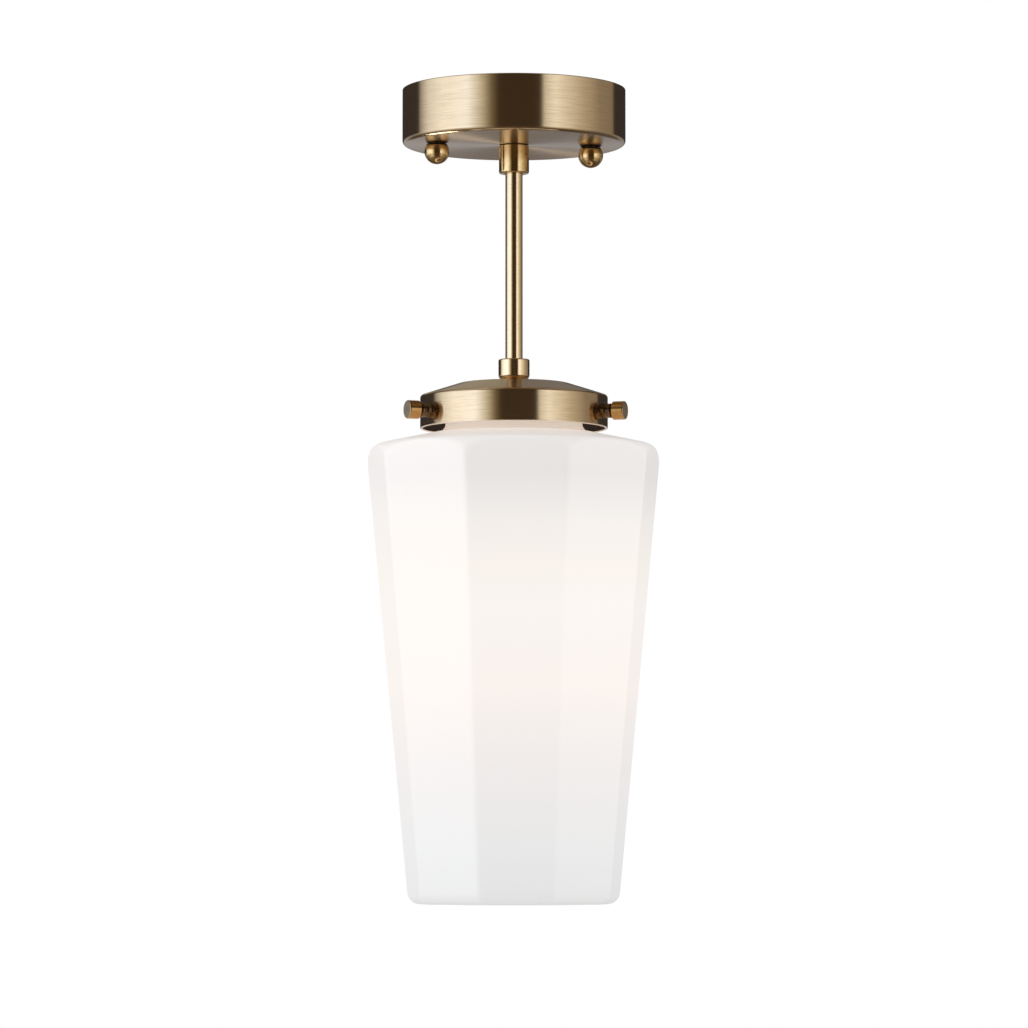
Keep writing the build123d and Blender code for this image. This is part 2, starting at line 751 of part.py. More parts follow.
# Bulb envelope: a blown shell, open at the neck
bulb_radius = bulb_diameter / 2
bulb_neck_radius = bulb_neck_diameter / 2
bulge = radians(bulb_bulge_angle)
with BuildPart() as bulb_glass:
    with BuildSketch(Plane.XZ):
        with BuildLine():
            neck_line = Line((bulb_neck_radius, bulb_neck_top), (bulb_neck_radius, bulb_neck_bottom))
            flank = Spline(
                neck_line @ 1,
                (bulb_radius * cos(bulge), bulb_centre + bulb_radius * sin(bulge)),
                tangents=((0, -1), (sin(bulge), -cos(bulge))),
            )
            tip = RadiusArc(flank @ 1, (0, bulb_tip), bulb_radius)
            Line(tip @ 1, (0, bulb_neck_top))
            Line((0, bulb_neck_top), neck_line @ 0)
        make_face()
    revolve(axis=Axis.Z)
    offset(amount=-bulb_glass_wall, openings=bulb_glass.faces().sort_by(Axis.Z)[-1])
bulb_glass.part.label = "bulb_glass"
export_step(bulb_glass.part, "parts/bulb_glass.step")

# Screw cap of the bulb
with BuildPart() as bulb_cap:
    with BuildSketch(Plane.XY.offset(bulb_cap_top)):
        Circle(bulb_cap_diameter / 2)
        Circle(bulb_cap_diameter / 2 - bulb_cap_wall, mode=Mode.SUBTRACT)
    extrude(amount=-bulb_cap_length)
bulb_cap.part.label = "bulb_cap"
export_step(bulb_cap.part, "parts/bulb_cap.step")

# Insulator between the cap and the centre contact
with BuildPart() as bulb_insulator:
    with BuildSketch(Plane.XY.offset(bulb_cap_top)):
        Circle(bulb_cap_diameter / 2)
    with BuildSketch(Plane.XY.offset(insulator_top)):
        Circle(bulb_insulator_top / 2)
    loft()
bulb_insulator.part.label = "bulb_insulator"
export_step(bulb_insulator.part, "parts/bulb_insulator.step")

with BuildPart() as bulb_contact:
    with BuildSketch(Plane.XY.offset(insulator_top)):
        Circle(bulb_contact_diameter / 2)
    extrude(amount=bulb_contact_height)
    fillet(bulb_contact.edges().group_by(Axis.Z)[-1], bulb_contact_height / 2)
bulb_contact.part.label = "bulb_contact"
export_step(bulb_contact.part, "parts/bulb_contact.step")

# Glass mount inside the bulb: a foot under the insulator and a rod that bears the filament
mount_tip = bulb_cap_top - bulb_mount_length
with BuildPart() as bulb_mount:
    with BuildSketch(Plane.XY.offset(bulb_cap_top)):
        Circle(bulb_mount_foot / 2)
    extrude(amount=-bulb_mount_foot_height)
    with BuildSketch(Plane.XY.offset(bulb_cap_top)):
        Circle(bulb_mount_rod / 2)
    extrude(amount=-bulb_mount_length)
bulb_mount.part.label = "bulb_mount"
export_step(bulb_mount.part, "parts/bulb_mount.step")

# Filament: an open ring on two arms from the mount's tip
filament_z = mount_tip - filament_wire / 2
filament_starts = (filament_opening / 2, 360 - filament_opening / 2)
with BuildPart() as bulb_filament:
    first = Vector(cos(radians(filament_starts[0])), sin(radians(filament_starts[0])), 0)
    with BuildSketch(Plane(origin=(0, 0, filament_z), x_dir=first, z_dir=first.cross(Vector(0, 0, 1)))):
        with Locations((filament_ring_radius, 0)):
            Circle(filament_wire / 2)
    revolve(axis=Axis.Z, revolution_arc=360 - filament_opening)
    for start in filament_starts:
        arm = Vector(cos(radians(start)), sin(radians(start)), 0)
        with BuildSketch(Plane(origin=(0, 0, filament_z), z_dir=arm)):
            Circle(filament_wire / 2)
        extrude(amount=filament_ring_radius)
bulb_filament.part.label = "bulb_filament"
export_step(bulb_filament.part, "parts/bulb_filament.step")


# Ball-shaped cap nuts, flat where they seat on the canopy and bored blind for their studs
for name, turn in (("canopy_nut_right", bar_turn), ("canopy_nut_left", bar_turn + 180)):
    seat = turned_plane(turn, canopy_bottom).from_local_coords((stud_radius, 0, 0))
    with BuildPart() as canopy_nut:
        with Locations(seat - Vector(0, 0, ball_drop)):
            Sphere(ball_diameter / 2)
        split(bisect_by=Plane.XY.offset(canopy_bottom), keep=Keep.BOTTOM)
        with BuildSketch(Plane(origin=seat, z_dir=(0, 0, -1))):
            Circle(stud_diameter / 2 + screw_gap)
        extrude(amount=ball_bore_depth, mode=Mode.SUBTRACT)
    canopy_nut.part.label = name
    export_step(canopy_nut.part, "parts/" + name + ".step")


def lead_path(out, terminal):
    """From a terminal, up the middle of the tubes, and over to a connector in the canopy."""
    low = porcelain_top - terminal_pocket_depth + terminal_head_height / 2
    low_corner = out * lead_offset + Vector(0, 0, low)
    head = Vector(terminal, 0, low)
    start = head - (head - low_corner).normalized() * (terminal_head_diameter / 2)
    high = stem_top + lead_rise
    high_corner = out * lead_offset + Vector(0, 0, high)
    end = out * lead_end_radius + Vector(0, 0, high)
    return [start, low_corner, high_corner, end]


def round_lead(points, radii):
    """A round insulated lead along straight runs joined by tangent arcs."""
    with BuildPart() as lead:
        with BuildLine() as route:
            FilletPolyline(*points, radius=radii)
        with BuildSketch(Plane(origin=points[0], z_dir=points[1] - points[0])):
            Circle(lead_diameter / 2)
        sweep(path=route.wires()[0])
    return lead.part


# Leads from the terminals up to their connectors
lead_outs = [Vector(cos(radians(azimuth)), sin(radians(azimuth)), 0) for azimuth in lead_azimuths]
lead_ends = []
for name, out, terminal in (
    ("lead_black", lead_outs[0], terminal_position),
    ("lead_white", lead_outs[1], -terminal_position),
):
    lead_points = lead_path(out, terminal)
    lead_ends.append(lead_points[-1])
    lead = round_lead(lead_points, [lead_bottom_radius, lead_top_radius])
    lead.label = name
    export_step(lead, "parts/" + name + ".step")

# Ground lead from the lug's barrel up to its own connector
lug_axis_z = washer_top + lug_barrel_diameter / 2
ground_points = [
    Vector(0, -lug_barrel_end, lug_axis_z),
    Vector(0, -ground_lead_radius, lug_axis_z),
    Vector(0, -ground_lead_radius, lug_axis_z + ground_lead_rise),
]
lead_ground = round_lead(ground_points, [ground_lead_bend])
lead_ground.label = "lead_ground"
export_step(lead_ground, "parts/lead_ground.step")

# Twist-on connectors: tapered caps, bored blind for the leads
connector_seats = lead_ends + [ground_points[-1]]
connector_outs = lead_outs + [Vector(0, 0, 1)]
with BuildPart() as wire_connectors:
    for seat, out in zip(connector_seats, connector_outs):
        mouth = Plane(origin=seat - out * connector_bore_depth, z_dir=out)
        with BuildSketch(mouth):
            Circle(connector_mouth / 2)
        with BuildSketch(mouth.offset(connector_length)):
            Circle(connector_crown / 2)
        loft()
        with BuildSketch(mouth):
            Circle(connector_bore / 2)
        extrude(amount=connector_bore_depth, mode=Mode.SUBTRACT)
wire_connectors.part.label = "wire_connectors"
export_step(wire_connectors.part, "parts/wire_connectors.step")
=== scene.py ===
"""Pendant light: brass canopy, stem and fitter, nine-sided opal glass shade, and what they hide.

Shapes are worked out in millimetres, in the frame's axes, and go into the meshes in metres.
"""

import json
from math import atan2, cos, pi, radians, sin, tan

import bpy
import numpy as np
from bpy.props import FloatProperty, FloatVectorProperty, PointerProperty
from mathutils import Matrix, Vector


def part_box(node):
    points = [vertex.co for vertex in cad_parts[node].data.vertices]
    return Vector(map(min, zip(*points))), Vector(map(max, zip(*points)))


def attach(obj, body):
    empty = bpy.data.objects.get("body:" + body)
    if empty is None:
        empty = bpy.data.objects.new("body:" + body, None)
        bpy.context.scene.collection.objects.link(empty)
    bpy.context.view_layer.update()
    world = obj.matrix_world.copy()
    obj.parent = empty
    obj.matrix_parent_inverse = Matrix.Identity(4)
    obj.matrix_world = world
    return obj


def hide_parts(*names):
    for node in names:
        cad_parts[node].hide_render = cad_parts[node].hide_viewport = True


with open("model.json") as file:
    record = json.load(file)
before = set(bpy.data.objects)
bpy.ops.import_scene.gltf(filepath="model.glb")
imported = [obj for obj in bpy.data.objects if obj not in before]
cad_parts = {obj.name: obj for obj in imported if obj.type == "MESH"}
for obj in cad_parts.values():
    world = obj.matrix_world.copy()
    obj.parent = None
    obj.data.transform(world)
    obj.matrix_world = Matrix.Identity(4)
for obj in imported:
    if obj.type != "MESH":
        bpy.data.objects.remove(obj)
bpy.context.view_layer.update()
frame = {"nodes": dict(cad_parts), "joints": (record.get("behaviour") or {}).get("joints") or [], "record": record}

bl_info = {
    "name": "Pendant Light",
    "version": (1, 0, 0),
    "blender": (4, 5, 0),
    "location": "3D View > Sidebar > Pendant",
    "description": "Builds the visible surfaces of a pendant light around its packed solids",
    "category": "Add Mesh",
}

MM = 0.001


def node_box(node):
    """Lowest and highest corner of a solid, in millimetres."""
    low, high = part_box(node)
    return np.array(low) / MM, np.array(high) / MM


def joint_axis(name):
    """Unit vector along which a joint moves."""
    for joint in frame["joints"]:
        if joint["name"] == name:
            return np.array(joint["axis"], float)
    raise ValueError("no joint is named " + name)


CANOPY_LOW, CANOPY_HIGH = node_box("canopy")
CAP_LOW, CAP_HIGH = node_box("fitter_cap")
SHADE_LOW, SHADE_HIGH = node_box("glass_shade")
NUT_LOW, NUT_HIGH = node_box("canopy_nut_right")
BAR_TURN = atan2((NUT_LOW + NUT_HIGH)[1], (NUT_LOW + NUT_HIGH)[0])
# The thread of the studs and set screws, and the length of a twist-on connector
FINE_PITCH, FINE_DEPTH = 0.79, 0.28
CONNECTOR_LENGTH = 17.0


# Shapes


def rounded_profile(points, radii, steps=6, support=0.15):
    """A profile of (radius, height) points whose inner corners are arcs of the given radii.

    An arc touches both of its sides at the distance radius / tan(half the corner's angle),
    and its points turn evenly about its centre. A support point lies beside each end, so
    smooth shading stays flat on the long sides. A radius of nought keeps the corner.
    """
    points = np.asarray(points, float)
    runs = [points[:1]]
    for before, corner, after, radius in zip(points, points[1:], points[2:], radii):
        if radius == 0:
            runs.append(corner[None])
            continue
        back = (before - corner) / np.linalg.norm(before - corner)
        onward = (after - corner) / np.linalg.norm(after - corner)
        half = np.arccos(np.clip(back @ onward, -1, 1)) / 2
        reach = radius / tan(half)
        middle = corner + (back + onward) / np.linalg.norm(back + onward) * radius / sin(half)
        turn = pi - 2 * half
        share = np.linspace(0, 1, steps + 1)[:, None]
        first = corner + back * reach - middle
        last = corner + onward * reach - middle
        arc = middle + (np.sin((1 - share) * turn) * first + np.sin(share * turn) * last) / sin(turn)
        extra = min(support, reach / 2)
        runs += [arc[:1] + back * extra, arc, arc[-1:] + onward * extra]
    runs.append(points[-1:])
    return np.concatenate(runs)


def straight(start, end, step):
    """Evenly spaced points from start to end, both left out, about a step apart."""
    start, end = np.asarray(start, float), np.asarray(end, float)
    count = int(np.linalg.norm(end - start) / step) + 1
    return start + (end - start) * np.linspace(0, 1, count + 1)[1:-1, None]


def swept(profile, angles):
    """A surface of revolution: (radius, height) goes to (radius cos a, radius sin a, height)."""
    points = np.empty((len(profile), len(angles), 3))
    points[..., 0] = profile[:, :1] * np.cos(angles)
    points[..., 1] = profile[:, :1] * np.sin(angles)
    points[..., 2] = profile[:, 1:]
    return points


def turned(profile, sides):
    """The same, with its angles evenly spaced."""
    return swept(np.asarray(profile, float), np.arange(sides) * 2 * pi / sides)


def ring_profile(bore, radius, low, high, radii, steps=6):
    """A bored ring's closed profile. Its inner edges and its outer ones are rounded by radii."""
    start = (bore, high - 1)
    corners = [start, (bore, high), (radius, high), (radius, low), (bore, low), start]
    return rounded_profile(corners, radii, steps)[:-1]


def with_rings(profile, radius, step):
    """A profile with points about a step apart where it runs straight at that radius."""
    ends = np.flatnonzero(np.isclose(profile[:, 0], radius))[[0, -1]]
    run = straight(profile[ends[0]], profile[ends[1]], step)
    return np.concatenate([profile[: ends[0] + 1], run, profile[ends[1] :]])


def first_point(where):
    """The place of the first point of a profile for which a condition holds."""
    return int(np.flatnonzero(where)[0])


def inside_ring(profile, radius, rim):
    """The first point of a profile past its rim that lies on the inner wall of that radius."""
    past = np.arange(len(profile)) > rim
    return first_point(past & (profile[:, 0] <= radius + 0.001))


def threaded(points, low, high, pitch, depth):
    """Cuts a thread into a turned grid between two heights.

    The radius drops by depth times a triangle wave of height / pitch minus the share of the
    turn, and the cut fades out within one pitch of each end.
    """
    share = np.arange(points.shape[1]) / points.shape[1]
    height = points[..., 2]
    wave = 2 * np.abs((height / pitch - share) % 1 - 0.5)
    fade = np.clip(np.minimum(height - low, high - height) / pitch, 0, 1)
    radius = np.hypot(points[..., 0], points[..., 1])
    points[..., :2] *= (1 - depth * wave * fade / np.maximum(radius, depth))[..., None]
    return points


def along(points, origin, axis):
    """Lays a shape that was turned about the vertical on another axis through origin."""
    axis = np.asarray(axis, float) / np.linalg.norm(axis)
    up = np.array([0.0, 0.0, 1.0]) if abs(axis[2]) < 0.9 else np.array([0.0, 1.0, 0.0])
    up = up - axis * (up @ axis)
    up /= np.linalg.norm(up)
    side = np.cross(up, axis)
    return np.asarray(origin, float) + points[..., :1] * side + points[..., 1:2] * up + points[..., 2:] * axis


def skin(points, closed):
    """Vertices, faces and UVs over a grid of rings.

    A closed grid joins its last ring to its first. In an open one the first and last rings
    have no size and become one point each. U is the share of the turn and V the length
    along the profile in metres.
    """
    rows, columns = points.shape[:2]
    index = np.arange(rows * columns).reshape(rows, columns)
    if not closed:
        index[0] = index[0, 0]
        index[-1] = index[-1, 0]
    beside = np.roll(index, -1, axis=1)
    here = np.arange(rows if closed else rows - 1)
    there = (here + 1) % rows
    faces = np.stack([index[here], beside[here], beside[there], index[there]], -1)
    ring = np.concatenate([points, points[:1]])[:, 0]
    length = np.concatenate([[0], np.cumsum(np.linalg.norm(np.diff(ring, axis=0), axis=1))]) * MM
    turn = np.arange(columns + 1) / columns
    grid = np.stack(np.broadcast_arrays(turn[None, :], length[:, None]), -1)
    uvs = np.stack([grid[here, :-1], grid[here, 1:], grid[here + 1, 1:], grid[here + 1, :-1]], 2)
    if closed:
        return points.reshape(-1, 3), [faces.reshape(-1, 4)], [uvs.reshape(-1, 4, 2)]
    uvs[0, :, 0, 0] += 0.5 / columns
    uvs[-1, :, 2, 0] -= 0.5 / columns
    corners = [[0, 2, 3], [0, 1, 2]]
    parts = [faces[0][:, corners[0]], faces[1:-1].reshape(-1, 4), faces[-1][:, corners[1]]]
    maps = [uvs[0][:, corners[0]], uvs[1:-1].reshape(-1, 4, 2), uvs[-1][:, corners[1]]]
    return points.reshape(-1, 3), parts, maps


def volume(vertices, parts):
    """Signed volume inside the faces: positive when they point outwards."""
    total = 0.0
    for faces in parts:
        for k in range(1, faces.shape[1] - 1):
            a, b, c = (vertices[faces[:, i]] for i in (0, k, k + 1))
            total += np.einsum("ij,ij->", a, np.cross(b, c))
    return total


def add_piece(name, grids, finish, body, node, others=()):
    """One mesh object from closed or poled grids, in place of the solid named in node.

    grids is a list of (points, closed). Every grid's faces are turned outwards by the sign
    of the volume that they enclose. others is (finish, first ring) in order: a piece of one
    grid changes to that finish from that ring on.
    """
    all_points, all_faces, all_uvs, start = [], [], [], 0
    for points, closed in grids:
        vertices, parts, maps = skin(points, closed)
        if volume(vertices, parts) < 0:
            parts = [faces[:, ::-1] for faces in parts]
            maps = [uvs[:, ::-1] for uvs in maps]
        all_points.append(vertices)
        all_faces += [faces + start for faces in parts]
        all_uvs += [uvs.reshape(-1, 2) for uvs in maps]
        start += len(vertices)
    used, packed = np.unique(np.concatenate([faces.ravel() for faces in all_faces]), return_inverse=True)
    vertices = np.concatenate(all_points)[used] * MM
    faces, start = [], 0
    for part in all_faces:
        faces += packed.ravel()[start : start + part.size].reshape(part.shape).tolist()
        start += part.size
    mesh = bpy.data.meshes.new(name)
    mesh.from_pydata(vertices.tolist(), [], faces)
    mesh.uv_layers.new(name="turned").data.foreach_set("uv", np.concatenate(all_uvs).ravel().astype(np.float32))
    mesh.shade_smooth()
    mesh.materials.append(material(finish))
    rings = np.arange(len(faces)) // grids[0][0].shape[1]
    places = np.zeros(len(faces), np.int32)
    for other, first in others:
        mesh.materials.append(material(other))
        places += rings >= first
    mesh.polygons.foreach_set("material_index", places)
    piece = bpy.data.objects.new(name, mesh)
    bpy.context.scene.collection.objects.link(piece)
    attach(piece, body)
    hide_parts(node)
    return piece


# Materials


class Nodes:
    """An emptied node tree, and short ways to add to it."""

    def __init__(self, tree):
        self.tree = tree
        tree.nodes.clear()

    def add(self, kind, inputs=None, **settings):
        """A node with settings, and inputs that are values or other nodes' outputs."""
        node = self.tree.nodes.new(kind)
        for setting, value in settings.items():
            setattr(node, setting, value)
        for socket, value in (inputs or {}).items():
            if isinstance(value, bpy.types.NodeSocket):
                self.tree.links.new(value, node.inputs[socket])
            else:
                node.inputs[socket].default_value = value
        return node

    def math(self, operation, *values):
        return self.add("ShaderNodeMath", dict(enumerate(values)), operation=operation).outputs[0]

    def ramp(self, factor, stops):
        """A colour ramp over stops of (position, (r, g, b))."""
        node = self.add("ShaderNodeValToRGB", {"Fac": factor})
        elements = node.color_ramp.elements
        while len(elements) < len(stops):
            elements.new(1.0)
        for element, (position, colour) in zip(elements, stops):
            element.position = position
            element.color = (*colour, 1.0)
        return node.outputs["Color"]


class Shader(Nodes):
    """A material's node tree round one Principled shader."""

    def __init__(self, name, **sockets):
        self.material = bpy.data.materials.new(name + "_finish")
        self.material.use_nodes = True
        super().__init__(self.material.node_tree)
        constants = {socket.replace("_", " "): value for socket, value in sockets.items()}
        self.principled = self.add("ShaderNodeBsdfPrincipled", constants)
        self.add("ShaderNodeOutputMaterial", {"Surface": self.principled.outputs["BSDF"]})

    def stretched(self, scale):
        """Object coordinates, stretched by a scale for each axis."""
        place = self.add("ShaderNodeTexCoord").outputs["Object"]
        return self.add("ShaderNodeMapping", {"Vector": place, "Scale": scale}).outputs["Vector"]

    def round_the_turn(self, turns, metres):
        """A vector that changes slowly round a turned piece and fast along its profile."""
        uv = self.add("ShaderNodeUVMap", uv_map="turned").outputs["UV"]
        split = self.add("ShaderNodeSeparateXYZ", {"Vector": uv}).outputs
        angle = self.math("MULTIPLY", split["X"], 2 * pi)
        joined = {
            "X": self.math("MULTIPLY", self.math("COSINE", angle), turns),
            "Y": self.math("MULTIPLY", self.math("SINE", angle), turns),
            "Z": self.math("MULTIPLY", split["Y"], metres),
        }
        return self.add("ShaderNodeCombineXYZ", joined).outputs["Vector"]

    def noise(self, vector, scale, detail=3.0, rough=0.55):
        inputs = {"Vector": vector, "Scale": scale, "Detail": detail, "Roughness": rough}
        return self.add("ShaderNodeTexNoise", inputs).outputs["Fac"]

    def spread(self, factor, low, high):
        """A noise, whose values lie mostly between 0.3 and 0.7, spread from low to high."""
        inputs = {"Value": factor, "From Min": 0.3, "From Max": 0.7, "To Min": low, "To Max": high}
        return self.add("ShaderNodeMapRange", inputs).outputs["Result"]

    def bump(self, height, strength, distance):
        inputs = {"Height": height, "Strength": strength, "Distance": distance}
        return self.add("ShaderNodeBump", inputs).outputs["Normal"]

    def feed(self, **links):
        for socket, output in links.items():
            self.tree.links.new(output, self.principled.inputs[socket.replace("_", " ")])
        return self.material


def tinted(colour, factor):
    """A colour made lighter or darker by a factor."""
    return tuple(min(1.0, channel * factor) for channel in colour)


def brass_material(name, colour, rougher=0.0, drawn=0.0, spots=1.0, rings=4500.0):
    """Satin brass, brushed round the turn, with a little ageing in its colour and gloss."""
    finish = bpy.context.scene.pendant.brass
    shader = Shader(name, Metallic=1.0, Anisotropic=min(1.0, finish.brushing + drawn), Anisotropic_Rotation=0.25)
    streaks = shader.noise(shader.round_the_turn(4.0, 2400.0), 1.0, 3.0, 0.6)
    lines = shader.noise(shader.round_the_turn(rings / 560, rings), 1.0, 2.0)
    patches = shader.noise(shader.stretched((1, 1, 1)), 45.0 * spots * spots * spots, 3.0)
    ageing = shader.math("ADD", shader.math("MULTIPLY", streaks, 0.7), shader.math("MULTIPLY", patches, 0.3))
    darkest, lightest = tinted(colour, 1 - finish.ageing * spots), tinted(colour, 1 + finish.ageing / 2)
    stops = [(0.35, darkest), (0.5, colour), (0.65, lightest)]
    tangent = shader.add("ShaderNodeTangent", direction_type="UV_MAP", uv_map="turned")
    return shader.feed(
        Base_Color=shader.ramp(ageing, stops),
        Roughness=shader.spread(ageing, finish.roughness + rougher + 0.03, finish.roughness + rougher - 0.03),
        Normal=shader.bump(lines, 0.25, 0.135 / rings),
        Tangent=tangent.outputs["Tangent"],
    )


def mottled_material(name, colour, roughness, grain, stretch=(1, 1, 1), change=0.12, dent=0.00003, **sockets):
    """A finish whose colour and gloss change in grains of a size, with the same grain as bump."""
    shader = Shader(name, **sockets)
    place = shader.stretched(stretch)
    grains = shader.noise(place, grain)
    clouds = shader.noise(place, grain / 9)
    both = shader.math("ADD", shader.math("MULTIPLY", grains, 0.5), shader.math("MULTIPLY", clouds, 0.5))
    stops = [(0.3, tinted(colour, 1 - change)), (0.7, tinted(colour, 1 + change))]
    return shader.feed(
        Base_Color=shader.ramp(both, stops),
        Roughness=shader.spread(both, roughness * 0.8, roughness * 1.2),
        Normal=shader.bump(grains, 0.35, dent),
    )


def opal_material():
    """Lit opal glass: a satin body with the bulb's light painted on as emission, strongest round the bulb.

    The body is darker where the glow is stronger, so with the glow off it is grey, not white.
    """
    finish = bpy.context.scene.pendant.glass
    shader = Shader(
        "opal_glass", Coat_Weight=finish.coat, Coat_Roughness=0.18, Coat_IOR=1.5, Specular_IOR_Level=0.2,
        Emission_Strength=finish.glow,
    )
    place = shader.stretched((1, 1, 1))
    height = shader.add("ShaderNodeSeparateXYZ", {"Vector": place}).outputs["Z"]
    down = {"Value": height, "From Min": GLOW_TOP * MM, "From Max": GLOW_BOTTOM * MM}
    clouds = shader.noise(place, 22.0, 2.0)
    share = shader.add("ShaderNodeMapRange", down).outputs["Result"]
    level = shader.math("ADD", share, shader.spread(clouds, -0.006, 0.006))
    body = [(glow_share(z), (tone, tone, tone)) for z, tone in GLASS_BODY]
    glow = [(glow_share(z), colour) for z, colour in PAINTED_GLASS_GLOW]
    ripple = shader.noise(place, 60.0, 2.0)
    return shader.feed(
        Base_Color=shader.ramp(level, body),
        Emission_Color=shader.ramp(level, glow),
        Roughness=shader.spread(clouds, 0.42, 0.5),
        Normal=shader.bump(ripple, 0.12, 0.0003),
    )


# Heights between which the glass's glow is given, what the glass gives back of the room's light at a height, and what
# it gives off of the bulb's, set until the picture agreed. The glow is painted light: the bulb's light through the
# glass, put on as emission and fading away from the bulb. Its warm, dim stops by the neck are a painted reflection of
# the brass band and painted shade under the band. The body's tone is lowered where the painted glow is strong.
GLOW_TOP = -190.0
GLOW_BOTTOM = -465.0
GLASS_BODY = (
    (-195.0, 0.76),
    (-223.0, 0.68),
    (-250.0, 0.42),
    (-274.0, 0.26),
    (-297.0, 0.19),
    (-342.0, 0.22),
    (-387.0, 0.30),
    (-432.0, 0.34),
    (-462.0, 0.38),
)
PAINTED_GLASS_GLOW = (
    (-192.0, (0.38, 0.30, 0.235)),
    (-206.0, (0.27, 0.245, 0.23)),
    (-223.0, (0.295, 0.27, 0.262)),
    (-250.0, (0.585, 0.548, 0.52)),
    (-274.0, (0.755, 0.70, 0.65)),
    (-297.0, (0.82, 0.775, 0.74)),
    (-342.0, (0.79, 0.73, 0.69)),
    (-387.0, (0.65, 0.615, 0.605)),
    (-432.0, (0.56, 0.56, 0.56)),
    (-462.0, (0.49, 0.49, 0.49)),
)


def glow_share(z):
    return (GLOW_TOP - z) / (GLOW_TOP - GLOW_BOTTOM)


def world_material():
    """A white studio for the camera and through glass, and a painted room that the metal mirrors.

    Glossy rays see that room and not the white. It is six colour ramps round the compass,
    from behind past the left-hand side and the front, each for a height of the direction.
    All other rays get an even light.
    """
    world = bpy.data.worlds.new("studio")
    bpy.context.scene.world = world
    world.use_nodes = True
    studio = Nodes(world.node_tree)

    def background(colour, strength):
        inputs = {"Color": colour, "Strength": strength}
        return studio.add("ShaderNodeBackground", inputs).outputs[0]

    def either(share, first, second):
        return studio.add("ShaderNodeMixShader", {"Fac": share, 1: first, 2: second}).outputs[0]

    direction = studio.add("ShaderNodeTexCoord").outputs["Generated"]
    way = studio.add("ShaderNodeSeparateXYZ", {"Vector": direction}).outputs
    bearing = studio.math("ARCTAN2", way["X"], studio.math("MULTIPLY", way["Y"], -1.0))
    compass = {"Value": bearing, "From Min": -pi, "From Max": pi}
    share = studio.add("ShaderNodeMapRange", compass).outputs["Result"]
    tones = [
        studio.ramp(share, [((azimuth + 180) / 360, tone) for azimuth, tone in stops])
        for stops, start, end in ROOM
    ]
    colour = tones[0]
    for tone, (stops, start, end) in zip(tones[1:], ROOM[1:]):
        height = {"Value": way["Z"], "From Min": start, "From Max": end}
        blend = studio.add("ShaderNodeMapRange", height, interpolation_type="SMOOTHSTEP").outputs["Result"]
        mix = {"Factor": blend, "A": colour, "B": tone}
        colour = studio.add("ShaderNodeMix", mix, data_type="RGBA").outputs["Result"]
    white = (1.0, 1.0, 1.0, 1.0)
    path = studio.add("ShaderNodeLightPath").outputs
    seen = studio.math("MAXIMUM", path["Is Camera Ray"], path["Is Transmission Ray"])
    ambient = background(white, bpy.context.scene.pendant.stage.ambient)
    unseen = either(path["Is Glossy Ray"], ambient, background(colour, ROOM_STRENGTH))
    studio.add("ShaderNodeOutputWorld", {"Surface": either(seen, unseen, background(white, 1.0))})


# The mirrored room: azimuth in degrees from the camera's side, left negative, and its tone, set until the metal looked
# right
ROOM_STRENGTH = 2.1
DRAPE = (0.016, 0.014, 0.014)
ROOM_FRONT = (
    (-115, (0.15, 0.15, 0.145)),
    (-100, (0.42, 0.46, 0.52)),
    (-80, (0.58, 0.64, 0.73)),
    (-50, (0.60, 0.70, 0.87)),
    (-35, (0.33, 0.34, 0.32)),
    (-25, (0.10, 0.085, 0.055)),
    (-17, (0.020, 0.013, 0.007)),
    (27.5, (0.020, 0.013, 0.007)),
    (30, (0.38, 0.40, 0.40)),
    (42, (0.53, 0.575, 0.62)),
    (52, (0.44, 0.46, 0.465)),
    (75, (0.265, 0.25, 0.22)),
    (98, (0.142, 0.127, 0.108)),
    (122, (0.12, 0.105, 0.085)),
)
ROOM_LEVEL = ((-180, DRAPE), (-117, DRAPE), *ROOM_FRONT, (125, DRAPE), (180, DRAPE))
ROOM_BELOW = (
    (-180, (0.18, 0.185, 0.20)),
    (-130, (0.12, 0.12, 0.125)),
    *ROOM_FRONT,
    (150, (0.12, 0.12, 0.13)),
    (180, (0.15, 0.155, 0.17)),
)
ROOM_LOW = (
    (-180, (0.05, 0.045, 0.042)),
    (-135, (0.03, 0.026, 0.022)),
    (-95, (0.16, 0.15, 0.13)),
    (-50, (0.36, 0.36, 0.36)),
    (-20, (0.032, 0.022, 0.014)),
    (27, (0.032, 0.022, 0.014)),
    (45, (0.26, 0.24, 0.20)),
    (110, (0.05, 0.042, 0.036)),
    (180, (0.05, 0.045, 0.042)),
)
ROOM_FLOOR = (
    (-180, (0.050, 0.038, 0.026)),
    (-70, (0.085, 0.070, 0.048)),
    (0, (0.045, 0.032, 0.020)),
    (180, (0.040, 0.030, 0.022)),
)
ROOM_ABOVE = (
    (-180, (0.155, 0.145, 0.118)),
    (-150, (0.155, 0.145, 0.118)),
    (-125, DRAPE),
    (-80, (0.24, 0.25, 0.26)),
    (-45, (0.10, 0.09, 0.07)),
    (-15, (0.02, 0.013, 0.007)),
    (25, (0.02, 0.013, 0.007)),
    (45, (0.06, 0.045, 0.03)),
    (80, (0.10, 0.09, 0.07)),
    (130, DRAPE),
    (150, (0.095, 0.088, 0.085)),
    (180, (0.095, 0.088, 0.085)),
)
ROOM_HIGH = (
    (-180, (0.14, 0.13, 0.11)),
    (-120, (0.12, 0.11, 0.09)),
    (-70, (0.26, 0.26, 0.25)),
    (-20, (0.06, 0.045, 0.03)),
    (30, (0.06, 0.045, 0.03)),
    (80, (0.14, 0.12, 0.09)),
    (130, (0.09, 0.083, 0.075)),
    (180, (0.09, 0.083, 0.075)),
)
